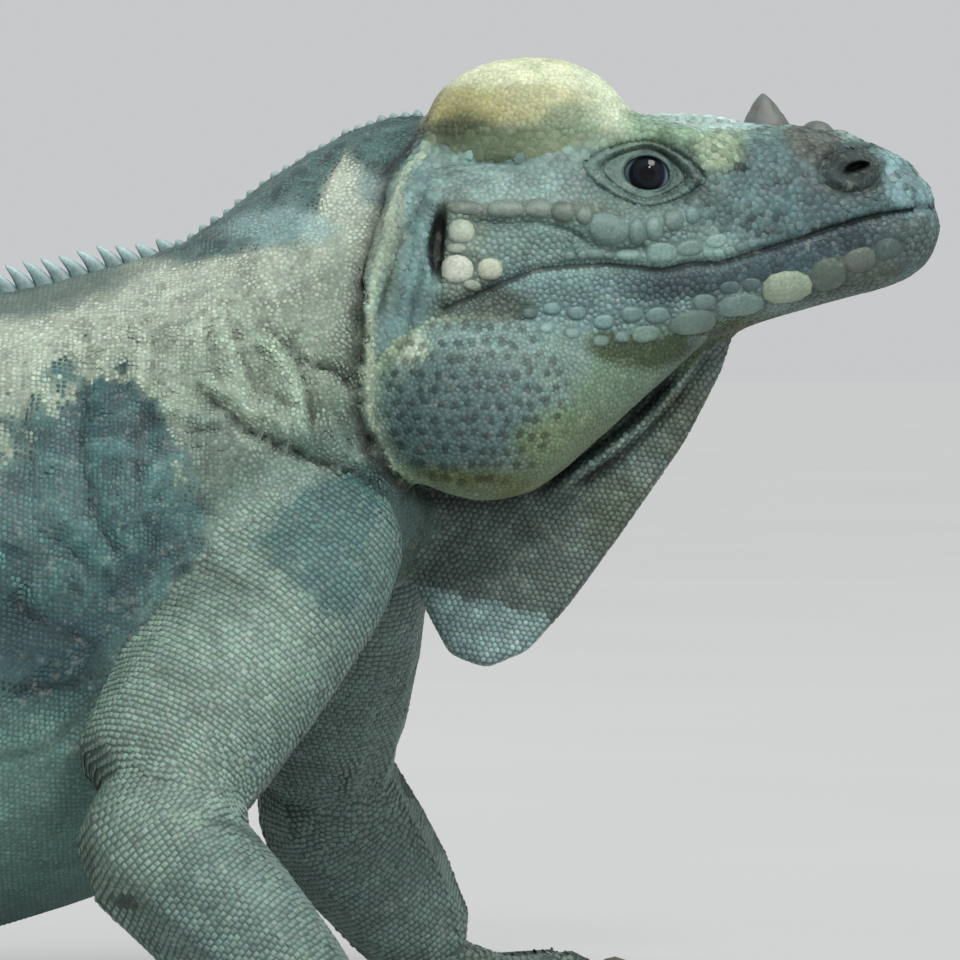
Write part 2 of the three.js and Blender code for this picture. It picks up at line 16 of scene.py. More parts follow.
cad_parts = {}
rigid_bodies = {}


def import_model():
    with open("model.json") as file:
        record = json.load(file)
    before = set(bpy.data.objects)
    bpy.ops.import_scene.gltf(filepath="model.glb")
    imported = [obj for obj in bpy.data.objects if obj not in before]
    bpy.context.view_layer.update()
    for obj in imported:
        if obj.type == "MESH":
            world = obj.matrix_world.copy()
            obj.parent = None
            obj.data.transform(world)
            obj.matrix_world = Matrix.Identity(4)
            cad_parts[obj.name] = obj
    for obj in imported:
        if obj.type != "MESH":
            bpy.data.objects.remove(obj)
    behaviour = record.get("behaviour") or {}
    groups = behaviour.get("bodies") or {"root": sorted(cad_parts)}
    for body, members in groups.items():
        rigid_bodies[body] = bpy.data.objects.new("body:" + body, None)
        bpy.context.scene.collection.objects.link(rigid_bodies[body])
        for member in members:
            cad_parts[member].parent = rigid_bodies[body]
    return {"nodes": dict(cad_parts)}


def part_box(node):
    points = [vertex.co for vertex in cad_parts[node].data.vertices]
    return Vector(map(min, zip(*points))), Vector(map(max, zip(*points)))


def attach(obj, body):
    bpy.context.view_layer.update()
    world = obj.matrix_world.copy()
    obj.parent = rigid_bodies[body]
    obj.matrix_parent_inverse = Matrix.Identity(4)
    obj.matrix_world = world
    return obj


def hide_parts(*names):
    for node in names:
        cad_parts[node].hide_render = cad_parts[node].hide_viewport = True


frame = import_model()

bl_info = {
    "name": "Rhinoceros iguana",
    "version": (1, 0, 0),
    "blender": (4, 5, 0),
    "location": "3D View > Sidebar > Iguana",
    "description": "Dresses the iguana's solids in skin, scales, crest, horns, claws and eyes",
    "category": "Object",
}

BODY = "root"
SIDES = {"right": -1, "left": 1}


def both(*parts):
    """The names of the right and the left one of each part."""
    return [f"{part}_{side}" for part in parts for side in SIDES]


TRUNK = ["neck", "chest", "belly", "hips"]
TAIL = [f"tail_{k}" for k in range(1, 5)]
CASQUES = ["casque_left", "casque_right"]
HEAD = ["head", "lower_jaw"] + CASQUES + ["ear_left", "ear_right"]
JOWLS = ["jowl_left", "jowl_right"]
THROAT = JOWLS + ["dewlap"]
ARMS = both("upper_arm", "forearm", "hand")
LEGS = both("thigh", "shank", "foot")
LIMBS = ARMS + LEGS
FLESH = TRUNK + TAIL + HEAD + THROAT + LIMBS
DIGITS = both("front", "hind")

# Places are in millimetres: x forward from the ear line, y to the left of the midline, z above the floor.
EYE_AT = (33.6, 17.2, 173.0)
MIDLINE = [
    (12, 0), (0, 0), (-60, 0), (-130, 0), (-220, 5), (-310, 9), (-400, 4), (-490, -8), (-600, -10),
    (-720, 14), (-840, 54), (-950, 82), (-1060, 80), (-1120, 66),
]
MIDLINE_STEP = 2.0
MIDLINE_LEAD = 12.0
LIMB_JOINTS = {
    ("arm", "right"): [(-22, -27, 112), (-67.5, -66, 47.5), (-29.5, -84, 10.5)],
    ("arm", "left"): [(-25, 27, 110), (-36, 75, 48), (-10.5, 90, 10.5)],
    ("leg", "right"): [(-372, -20, 54), (-316, -96, 50), (-378, -122, 13)],
    ("leg", "left"): [(-372, 30, 54), (-322, 108, 49), (-386, 130, 13)],
}
LIMB_PARTS = {"arm": ("upper_arm", "forearm", "hand"), "leg": ("thigh", "shank", "foot")}


def frame_shift():
    """How far the ear line's place on the midline lies from the frame's origin, in millimetres."""
    centres = [sum(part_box(f"eye_{side}"), Vector()) / 2 for side in SIDES]
    middle = (centres[0] + centres[1]) * 500
    return np.array([middle.x - EYE_AT[0], middle.y, 0.0])


SHIFT = frame_shift()
MADE = {}


def to_frame(points):
    return (np.asarray(points, float) + SHIFT) * 0.001


def from_frame(points):
    return np.asarray(points, float) * 1000 - SHIFT


def fetched(items, key, width=1, kind=np.float32):
    """One property of all the items of a mesh, as an array."""
    found = np.empty(len(items) * width, kind)
    items.foreach_get(key, found)
    return found.reshape(-1, width) if width > 1 else found


def places_of(mesh):
    return from_frame(fetched(mesh.vertices, "co", 3))


def normals_of(mesh):
    return fetched(mesh.vertex_normals, "vector", 3).astype(float)


def triangles_of(mesh):
    mesh.calc_loop_triangles()
    return fetched(mesh.loop_triangles, "vertices", 3, np.int32)


def face_centres(mesh):
    return from_frame(fetched(mesh.polygons, "center", 3))


def first_corner(mesh):
    """The first vertex of each face."""
    starts = fetched(mesh.polygons, "loop_start", 1, np.int32)
    return fetched(mesh.loops, "vertex_index", 1, np.int32)[starts]


def put_points(mesh, points):
    """Moves the vertices, and hands their places on."""
    mesh.vertices.foreach_set("co", to_frame(points).astype(np.float32).ravel())
    mesh.update()
    return points


def unit(vectors):
    return vectors / np.maximum(norm(vectors, axis=-1, keepdims=True), 1e-9)


def ramp(low, high, value):
    share = np.clip((value - low) / (high - low), 0, 1)
    return share * share * (3 - 2 * share)


def bump(value, centre, width):
    return np.exp(-(((value - centre) / width) ** 2))


def grain(points, size, seed=0):
    """Smooth noise from 0 to 1, with features about as large as size."""
    place = points / size + seed * 17.31
    cell = np.floor(place).astype(np.int64)
    part = place - cell
    part = part * part * (3 - 2 * part)
    total = np.zeros(len(points))
    for corner in range(8):
        step = np.array([corner & 1, corner >> 1 & 1, corner >> 2 & 1])
        key = cell + step
        mixed = key[:, 0] * 73856093 ^ key[:, 1] * 19349663 ^ key[:, 2] * 83492791
        mixed = (mixed ^ (mixed >> 13)) * 1274126177 & 0x7FFFFFFF
        weight = np.prod(np.where(step == 1, part, 1 - part), axis=1)
        total += weight * ((mixed >> 7) % 65521) / 65521
    return total


def cloudy(points, size, seed=0):
    """Noise from 0 to 1 in three layers."""
    return (
        grain(points, size, seed) * 0.57
        + grain(points, size / 2.1, seed + 3) * 0.29
        + grain(points, size / 4.3, seed + 7) * 0.14
    )


def catmull_rom(points, steps):
    """A centripetal curve through the points."""
    points = np.asarray(points, float)
    padded = np.vstack([2 * points[0] - points[1], points, 2 * points[-1] - points[-2]])
    found = []
    share = np.linspace(0, 1, steps, endpoint=False)[:, None]
    for a, b, c, d in zip(padded, padded[1:], padded[2:], padded[3:]):
        da, db, dc = (max(norm(q - p) ** 0.5, 1e-4) for p, q in ((a, b), (b, c), (c, d)))
        out = ((b - a) / da - (c - a) / (da + db) + (c - b) / db) * db
        into = ((c - b) / db - (d - b) / (db + dc) + (d - c) / dc) * db
        cube = 2 * b - 2 * c + out + into
        square = -3 * b + 3 * c - 2 * out - into
        found.append(cube * share**3 + square * share**2 + out * share + b)
    return np.vstack(found + [points[-1:]])


def resample(points, step):
    """Points a fixed step apart along a line of points."""
    points = np.asarray(points, float)
    lengths = np.r_[0, np.cumsum(norm(np.diff(points, axis=0), axis=1))]
    wanted = np.arange(0, lengths[-1], step)
    return np.stack([np.interp(wanted, lengths, column) for column in points.T], axis=1)


def curve(line, step=0.8):
    """A smooth line through the places, as points a step apart."""
    return resample(catmull_rom(line, 12), step)


def reach_from(points, middle, half):
    """How far each point is from the middle of an ellipse seen from the side, as a share of its reach."""
    return norm((points[:, [0, 2]] - middle) / half, axis=1)


def midline_at(along):
    """The place and the way of the midline at a distance along it."""
    k = (along + MIDLINE_LEAD) / MIDLINE_STEP
    x, y = (float(np.interp(k, np.arange(len(LINE)), column)) for column in LINE.T)
    return x, y, np.append(LINE_WAY[min(int(k), len(LINE) - 1)], 0)


def search_tree(places):
    tree = KDTree(len(places))
    for k, place in enumerate(places.tolist()):
        tree.insert(place, k)
    tree.balance()
    return tree


LINE = resample(catmull_rom(MIDLINE, 60), MIDLINE_STEP)
LINE_WAY = unit(np.gradient(LINE, axis=0))


def along_line(points):
    """How far back along the midline each point lies, and how far to the left of it."""
    index = np.searchsorted(-LINE[:, 0], -points[:, 0]).clip(0, len(LINE) - 1)
    for _ in range(4):
        ahead = np.einsum("ij,ij->i", points[:, :2] - LINE[index], LINE_WAY[index])
        index = (index + np.round(ahead / MIDLINE_STEP).astype(int)).clip(0, len(LINE) - 1)
    offset = points[:, :2] - LINE[index]
    way = LINE_WAY[index]
    ahead = np.einsum("ij,ij->i", offset, way)
    left = offset[:, 0] * way[:, 1] - offset[:, 1] * way[:, 0]
    return index * MIDLINE_STEP - MIDLINE_LEAD + ahead, left


def nearest_on(points, line):
    """From the nearest place of a line: the distance, the offset, the line's way and the share."""
    line = np.asarray(line, float)
    lengths = norm(np.diff(line, axis=0), axis=1)
    starts = np.r_[0, np.cumsum(lengths)]
    best = np.full(len(points), 1e9)
    offset, way = np.zeros(points.shape), np.zeros(points.shape)
    share = np.zeros(len(points))
    for k, (a, b) in enumerate(zip(line, line[1:])):
        ahead = (b - a) / lengths[k]
        reach = np.clip((points - a) @ ahead, 0, lengths[k])
        away = points - a - reach[:, None] * ahead
        distance = norm(away, axis=1)
        closer = distance < best
        best[closer], offset[closer] = distance[closer], away[closer]
        way[closer] = ahead
        share[closer] = (starts[k] + reach[closer]) / starts[-1]
    return best, offset, way, share


def line_distance(points, line):
    """Distance of each point from a line seen from the side, signed by side, and the share of the way."""
    best, offset, way, share = nearest_on(points, line)
    return best * np.where(way[:, 0] * offset[:, 1] < way[:, 1] * offset[:, 0], -1, 1), share


# ---- skin


def finished(work, name):
    """A mesh of what was modelled."""
    mesh = bpy.data.meshes.new(name)
    work.to_mesh(mesh)
    work.free()
    return mesh


def joined(name, parts):
    """One mesh of several modelled parts."""
    whole = bmesh.new()
    for part in parts:
        mesh = finished(part, "part")
        whole.from_mesh(mesh)
        bpy.data.meshes.remove(mesh)
    return finished(whole, name)


def copied(name):
    """A copy of a solid, with the corners of its triangles merged."""
    work = bmesh.new()
    work.from_mesh(frame["nodes"][name].data)
    bmesh.ops.remove_doubles(work, verts=work.verts, dist=1e-6)
    return work


def swollen(work, growth):
    work.normal_update()
    for vertex in work.verts:
        vertex.co += vertex.normal * growth
    return work


def applied(mesh, **modifier):
    """The mesh after one modifier."""
    holder = bpy.data.objects.new("holder", mesh)
    bpy.context.scene.collection.objects.link(holder)
    added = holder.modifiers.new("made", modifier.pop("type"))
    group = modifier.pop("group", None)
    if group is not None:
        vertex_group = holder.vertex_groups.new(name="held")
        for weight in np.unique(group):
            vertex_group.add(np.flatnonzero(group == weight).tolist(), float(weight), "REPLACE")
        added.vertex_group = "held"
    for key, value in modifier.items():
        setattr(added, key, value)
    graph = bpy.context.evaluated_depsgraph_get()
    made = bpy.data.meshes.new_from_object(holder.evaluated_get(graph))
    bpy.data.objects.remove(holder)
    bpy.data.meshes.remove(mesh)
    return made


def flesh_tree():
    """A search tree over the solids of flesh, and the solid that each of its faces belongs to."""
    points, faces, owner = [], [], []
    start = 0
    for number, name in enumerate(FLESH):
        mesh = frame["nodes"][name].data
        points.append(places_of(mesh))
        faces.append(triangles_of(mesh) + start)
        owner.append(np.full(len(faces[-1]), number))
        start += len(points[-1])
    tree = BVHTree.FromPolygons(np.vstack(points).tolist(), np.vstack(faces).tolist())
    return tree, np.concatenate(owner)


def part_of(points, tree, owner):
    return np.array([owner[tree.find_nearest(point)[2]] for point in points.tolist()])


def is_part(labels, names):
    return np.isin(labels, [FLESH.index(name) for name in names])


def neighbour_table(mesh):
    """Each vertex's neighbours in a row that is filled up with itself, and how many they are."""
    count = len(mesh.vertices)
    pairs = fetched(mesh.edges, "vertices", 2, np.int32)
    pairs = np.vstack([pairs, pairs[:, ::-1]])
    pairs = pairs[np.argsort(pairs[:, 0], kind="stable")]
    degree = np.bincount(pairs[:, 0], minlength=count)
    first = np.r_[0, np.cumsum(degree)[:-1]]
    slot = np.arange(len(pairs)) - first[pairs[:, 0]]
    table = np.repeat(np.arange(count)[:, None], degree.max(), axis=1)
    table[pairs[:, 0], slot] = pairs[:, 1]
    return table, degree


def relax(values, links, rounds, pull=0.5):
    """Pulls each value towards its neighbours' mean, for as many rounds as its own number says."""
    table, degree = links
    values = values.copy()
    rounds = np.broadcast_to(rounds, len(values))
    spare = table.shape[1] - degree
    for turn in range(int(np.max(rounds))):
        active = np.flatnonzero(rounds > turn)
        shape = (-1, 1) if values.ndim == 2 else -1
        extra, count = spare[active].reshape(shape), degree[active].reshape(shape)
        mean = (values[table[active]].sum(1) - extra * values[active]) / count
        values[active] += (mean - values[active]) * pull
    return values


SMOOTHING = {
    "neck": 46, "chest": 100, "belly": 110, "hips": 110, "tail_1": 60, "tail_2": 34, "tail_3": 12,
    "tail_4": 2, "head": 9, "lower_jaw": 12, "casque": 20, "ear": 3, "jowl": 24, "dewlap": 5,
    "upper_arm": 34, "forearm": 26, "hand": 3, "thigh": 40, "shank": 28, "foot": 3,
}


def plain_name(name):
    return name.replace("_left", "").replace("_right", "")


def drop_spines(points, labels):
    """Takes the spines' stumps off the back, so that the crest can be made afresh."""
    along, left = along_line(points)
    back = is_part(labels, TRUNK + TAIL) & (along > -12) & (along < 915)
    shelf = back & (np.abs(left) > 3.4) & (np.abs(left) < 5.6)
    bins = np.arange(-12, 920, 3.0)
    place = np.digitize(along, bins).clip(0, len(bins) - 1)
    top = np.full(len(bins), np.nan)
    for k in np.unique(place[shelf]):
        top[k] = points[shelf & (place == k), 2].max()
    known = ~np.isnan(top)
    top = np.interp(bins, bins[known], top[known])
    top = np.convolve(np.pad(top, 3, mode="edge"), np.ones(7) / 7, mode="valid")
    limit = np.interp(along, bins, top) + 0.4 + (3.6 - np.abs(left)).clip(0, 4) * 0.3
    ridge = back & (np.abs(left) < 3.8) & (points[:, 2] > limit)
    points[ridge, 2] = limit[ridge]
    return points


def refine(mesh, chosen):
    """Cuts the chosen faces into four."""
    work = bmesh.new()
    work.from_mesh(mesh)
    work.faces.ensure_lookup_table()
    edges = {edge for index in chosen.tolist() for edge in work.faces[index].edges}
    edges = sorted(edges, key=lambda edge: edge.index)
    bmesh.ops.subdivide_edges(work, edges=edges, cuts=1, use_grid_fill=True)
    work.to_mesh(mesh)
    work.free()
    mesh.update()
    return mesh


MOUTH = [
    (92, 166.7), (88, 166.2), (80, 165), (72, 162.8), (64, 160), (56, 157.6), (48, 155.3), (43, 155.2),
    (37, 153.9), (31.6, 154.4), (25.4, 154.9), (12.8, 154), (6.6, 151.8), (-2, 148), (-6.4, 146.2),
]
EAR_SLIT = [(-7.2, 166.4), (-8.2, 159.4), (-8.0, 151.6)]
COLLAR_EDGE = [
    (-9.4, 186.4), (-11.4, 179.4), (-16.4, 172.8), (-17.9, 166.2), (-19.8, 159.8), (-21.6, 153.4),
    (-22.4, 146), (-22.4, 139), (-22.8, 131), (-22.2, 124), (-19.4, 117.4), (-13.6, 112), (-6, 109),
]
CASQUE_CREASE = [(-11, 171.4), (-5.4, 174.2), (-0.8, 174.9), (6, 174.9), (15, 174.6)]
TEMPLE_RIDGE = [
    (-8, 166.6), (4, 165.8), (12, 165.8), (20, 164.4), (26, 162), (33, 162), (40, 163.8), (47, 165.8),
]
TEMPLE_GROOVE = [(-4, 163.6), (4, 163.2), (12, 163.2), (18, 161.6), (22, 159.2), (27, 157.8), (33, 158.2)]

# Each fold: its line of x and z, the groove's width and depth, the lip's height, and the lip's side.
FOLDS = [
    ([(-9.6, 172), (-13, 164), (-18.4, 150), (-20.4, 141)], 1, 1, 0.7, -1),
    ([(-10, 156), (-12.8, 148), (-14.6, 140), (-20, 132)], 0.9, 0.8, 0.4, 1),
    ([(-12.6, 163), (-13.6, 155), (-17, 143)], 0.7, 0.5, 0.3, 1),
    (
        [
            (-56.8, 132), (-51.6, 127.6), (-47.2, 123.8), (-39.8, 120.2), (-29.4, 115.4), (-22, 112.8),
            (-15, 106),
        ],
        1.4, 2.5, 2.3, 1,
    ),
    ([(-66.4, 126.4), (-61.2, 124), (-54.6, 122.4), (-47, 122.6)], 1.2, 1, 1, 1),
    ([(-42.6, 144.2), (-36.8, 137.4), (-33.6, 130.8), (-32.6, 124.4), (-30.8, 118)], 1.3, 1.8, 1.9, -1),
    ([(-35.2, 137.4), (-31.2, 135), (-27.6, 133.6), (-25.8, 131.2), (-23.4, 128.8)], 1, 1.8, 1.7, 1),
    ([(-43, 133), (-38, 128), (-34, 127)], 1, 1, 0.9, 1),
    ([(-30, 128), (-26, 122), (-25, 117)], 1, 1.2, 1, -1),
    ([(-50, 146), (-46, 136), (-43, 128)], 1.2, 1.1, 0.9, -1),
    ([(-54, 144), (-52, 136), (-49, 129)], 1.1, 0.9, 0.8, -1),
    ([(-78, 148), (-76.6, 134), (-77.6, 120), (-74, 104), (-66, 93)], 1.6, 0.9, 0.6, 1),
    ([(-67, 150), (-64, 137), (-66, 124), (-66, 108), (-62.6, 94)], 1.3, 0.8, 0.6, -1),
    ([(-90, 140), (-88, 122), (-84, 106), (-72, 90)], 1.7, 1, 0.7, 1),
    ([(-102, 120), (-98, 100), (-84, 84), (-70, 80)], 1.8, 1.3, 0.9, 1),
    ([(-99, 74), (-84, 72), (-72, 76)], 2, 1.6, 1.1, 1),
    ([(-98, 58), (-86, 60), (-76, 68)], 2, 1.3, 0.9, 1),
    ([(-56, 97), (-50, 94), (-44, 91), (-36, 88)], 2, 0.5, 0.3, 1),
    ([(-52, 47.4), (-47.8, 47.2), (-40, 42.6)], 1.4, 1.2, 0.6, 1),
    ([(11, 109), (21, 116.5), (32, 125), (43, 136)], 1.2, 1.8, 1.6, -1),
    ([(17, 109), (32, 119.6), (41, 129), (48, 139)], 1.2, 2.2, 1.8, 1),
]


def beside(points, line, margin, allowed):
    """The numbers of the allowed points that lie no more than a margin in front of or behind a line."""
    x = points[:, 0]
    ends = [place[0] for place in line]
    return np.flatnonzero(allowed & (x > min(ends) - margin) & (x < max(ends) + margin))


def sideways(normals):
    """How much the skin faces to the side."""
    return ramp(0.12, 0.5, np.abs(normals[:, 1]))


def cut_folds(points, normals, labels):
    """Presses the folds and the wrinkles of the neck and flanks into the skin."""
    flat = points[:, [0, 2]]
    facing = sideways(normals)
    push = np.zeros(len(points))
    front = points[:, 0] > -125
    for line, width, depth, lip, side in FOLDS:
        chosen = beside(points, line, 12, front)
        away, share = line_distance(flat[chosen], curve(line, 1.0))
        fade = ramp(0, 0.18, share) * ramp(0, 0.18, 1 - share)
        wave = 0.75 + 0.5 * grain(points[chosen], 7.0, 5)
        cut = -depth * bump(away, 0, width)
        rise = lip * bump(away * side, 2.0 * width, 1.3 * width)
        push[chosen] += (cut + rise) * fade * wave * facing[chosen]
    push[is_part(labels, both("forearm", "hand") + LEGS)] *= 0.5
    along = along_line(points)[0]
    neck = ramp(-8, 12, along) * ramp(84, 55, along)
    flank = ramp(40, 75, along) * ramp(330, 240, along)
    trunk = is_part(labels, TRUNK)
    bend = 5.5 * cloudy(points, 26, 2) + 0.05 * (points[:, 2] - 110)
    fine = np.sin((points[:, 0] + bend * 2.2) * 2 * math.pi / 4.4)
    broad = np.sin((points[:, 0] + bend * 3.4) * 2 * math.pi / 10.5)
    low = ramp(160, 138, points[:, 2]) * ramp(30, 60, points[:, 2])
    crepe = (0.20 * fine + 0.20 * broad) * neck * (0.4 + cloudy(points, 14, 9))
    sag = (0.24 * fine + 0.42 * broad) * flank * low * (0.2 + 1.2 * cloudy(points, 30, 12) ** 1.5)
    push += np.where(trunk, (crepe + sag) * facing, 0)
    cloud = cloudy(points * [1, 1, 0.55], 6.0, 31)
    wrinkle = -0.5 * ramp(0.44, 0.5, cloud) * ramp(0.58, 0.5, cloud)
    push += np.where(trunk, wrinkle, 0) * np.maximum(neck, flank * 0.7)
    return points + normals * push[:, None]


def painted_fold_light(points):
    """Painted light of the folds, as a share of the colour: painted highlights on their lips and painted
    shade in their grooves, and at the collar's edge a painted highlight in front and a painted shadow
    behind.
    """
    flat = points[:, [0, 2]]
    painted_shading = np.ones(len(points))
    near = (points[:, 0] > -125) & (points[:, 0] < 56) & (np.abs(points[:, 1]) > 3)
    # Painted highlight on each fold's lip and painted shade in its groove.
    for line, width, depth, lip, side in FOLDS:
        chosen = beside(points, line, 6, near)
        away, share = line_distance(flat[chosen], curve(line, 1.0))
        fade = ramp(0, 0.15, share) * ramp(0, 0.15, 1 - share)
        groove = bump(away, 0, 0.55 * width) * min(0.72, 0.42 * depth)
        crest = bump(away * side, 1.7 * width, width) * min(0.6, 0.30 * lip)
        painted_shading[chosen] *= 1 + (crest - groove) * fade
    # Painted highlight on the collar's raised lip and painted shadow in the groove behind it.
    away, share = line_distance(flat, curve(COLLAR_EDGE))
    edge = ramp(0, 0.1, share) * ramp(1, 0.9, share) * near
    return painted_shading * (1 + edge * (0.5 * bump(away, 1.1, 0.9) - 0.72 * bump(away, -1.5, 1.5)))


def ear_reach(points):
    offset = points[:, [0, 2]] - (-8.2, 159.2)
    lean = offset[:, 0] - 0.07 * offset[:, 1] - 0.012 * offset[:, 1] ** 2
    return np.hypot(lean / 2.0, offset[:, 1] / 8.4)


def cut_head(points, normals, labels):
    """Presses the mouth line, the temple's ridge and groove and the ear slit into the head."""
    flat = points[:, [0, 2]]
    facing = sideways(normals)
    push = np.zeros(len(points))
    head = (points[:, 0] > -30) & (points[:, 2] > 100) & ~is_part(labels, LIMBS)
    away, share = line_distance(flat, curve(MOUTH))
    gape = 0.62 + 0.5 * ramp(0.0, 0.9, share)
    push -= np.where(head, 1.5 * bump(away, 0, gape), 0) * ramp(0.02, 0.3, np.abs(points[:, 1]) / 10)
    for line, height, width, rear, front in (
        (TEMPLE_RIDGE, 0.9, 2.1, (-1, -0.5), (1, 0.86)),
        (TEMPLE_GROOVE, -1.2, 0.9, (0, 0.2), (2, 1)),
        (CASQUE_CREASE, -1.3, 0.9, (0, 0.2), (1, 0.6)),
    ):
        away, share = line_distance(flat, curve(line))
        ends = ramp(*rear, share) * ramp(*front, share)
        push += np.where(head, height * bump(away, 0, width), 0) * facing * ends
    away, share = line_distance(flat, curve(COLLAR_EDGE))
    flap = np.where(away > 0, 1.5 * np.exp(-np.abs(away) / 5), -2.1 * np.exp(-np.abs(away) / 1.8))
    flap *= 1 - 0.6 * ramp(0.6, 0.8, share)
    flap *= ramp(0, 0.1, share) * ramp(1, 0.86, share)
    push += np.where((points[:, 0] > -38) & (points[:, 2] > 112), flap, 0) * facing
    push -= np.where(head, 4.2 * ramp(1.15, 0.35, ear_reach(points)), 0) * facing
    lower_lip = bump(reach_from(points, (84, 161.4), (14, 3.0)), 0, 1)
    push += np.where(head, 0.5 * lower_lip, 0)
    snout = reach_from(points, (66, 173), (30, 14))
    push += np.where(head, 1.3 * (cloudy(points, 3.2, 71) - 0.5) * ramp(1.1, 0.8, snout), 0)
    return points + normals * push[:, None]


def tilted(points, at, tilt):
    """Each point's place along and above a tilted middle line, seen from the side."""
    c, s = math.cos(math.radians(tilt)), math.sin(math.radians(tilt))
    offset = points[:, [0, 2]] - at
    return offset @ np.array([c, s]), offset @ np.array([-s, c])


EYE_TILT = -6.0
NOSTRIL_AT = (74.8, 173.8)
NOSTRIL_TILT = 6.0
NOSTRIL_HALF = (5.5, 3.9)


def eye_place(points):
    return tilted(points, (EYE_AT[0], EYE_AT[2]), EYE_TILT)


def eye_reach(points):
    a, b = eye_place(points)
    return np.hypot(a / 14.0, b / 9.0)


def nostril_reach(points):
    a, b = tilted(points, NOSTRIL_AT, NOSTRIL_TILT)
    return np.hypot(a / NOSTRIL_HALF[0], b / NOSTRIL_HALF[1])


def nostril_slit(points):
    a, b = tilted(points, (NOSTRIL_AT[0] + 1.0, NOSTRIL_AT[1] + 0.7), 18.0)
    return np.hypot(a / 2.9, (b + 0.05 * a * a - 0.2) / 0.95)


def spindle(angle, rear, front, top, low, power):
    """The radius at each angle of an outline with pointed corners, from its reach each way."""
    wide = np.where(np.cos(angle) > 0, front, rear)
    tall = np.where(np.sin(angle) > 0, top, low)
    return (np.abs(np.cos(angle) / wide) ** power + np.abs(np.sin(angle) / tall) ** power) ** (-1 / power)


def lid_rims(a, b):
    """The radius of the eye's opening, of the lids' crease and of the outer crease, at each angle."""
    angle = np.arctan2(b, a)
    opening = spindle(angle, 4.6, 4.5, 3.6, 3.2, 2.0)
    band = spindle(angle, 9.2, 7.6, 5.4, 5.2, 1.5)
    outer = spindle(angle, 13.0, 11.4, 6.5, 6.6, 1.5)
    return angle, opening, band, outer


def form_lids(points, side, ball):
    """Shapes the eyelids over the ball on one side."""
    near = np.flatnonzero((eye_reach(points) < 1.0) & (points[:, 1] * side > 8))
    a, b = eye_place(points[near])
    radius = np.hypot(a, b)
    angle, opening, band, outer = lid_rims(a, b)
    face = np.abs(points[near, 1])
    over_ball = EYE_AT[1] + np.sqrt(np.maximum((ball + 0.7) ** 2 - radius**2, 0.0))
    over_ball = np.maximum(over_ball, face - 0.9)
    share = ramp(opening + 0.3, outer + 0.6, radius)
    depth = over_ball * (1 - share) + face * share
    depth += 0.45 * bump(radius, opening + 0.55, 0.45)
    depth -= 0.95 * bump(radius, band, 0.42)
    depth += 0.55 * bump(radius, (band + outer) / 2, 0.7)
    depth -= 0.80 * bump(radius, outer, 0.5)
    fan = np.sin(angle * 26 + radius * 1.3) * ramp(opening + 1.2, band + 0.6, radius)
    depth += 0.10 * fan * ramp(outer + 2, outer, radius)
    clear = EYE_AT[1] + np.sqrt(np.maximum(ball**2 - radius**2, 0.0)) + 0.2
    depth = np.maximum(depth, clear)
    sunk = ramp(opening + 0.06, opening - 0.35, radius)
    depth -= sunk * (2.4 + 1.6 * ramp(0, 4, opening - radius))
    points[near, 1] = side * depth
    return points


def form_nostril(points, side):
    """Raises the swollen ring of the nostril and presses its slit in, on one side."""
    near = np.flatnonzero((nostril_reach(points) < 1.5) & (points[:, 1] * side > 4))
    reach = nostril_reach(points[near])
    push = 1.2 * bump(reach, 0.66, 0.30) - 0.6 * bump(reach, 1.14, 0.16)
    push -= 3.4 * ramp(1.25, 0.45, nostril_slit(points[near]))
    points[near, 1] += side * push
    return points


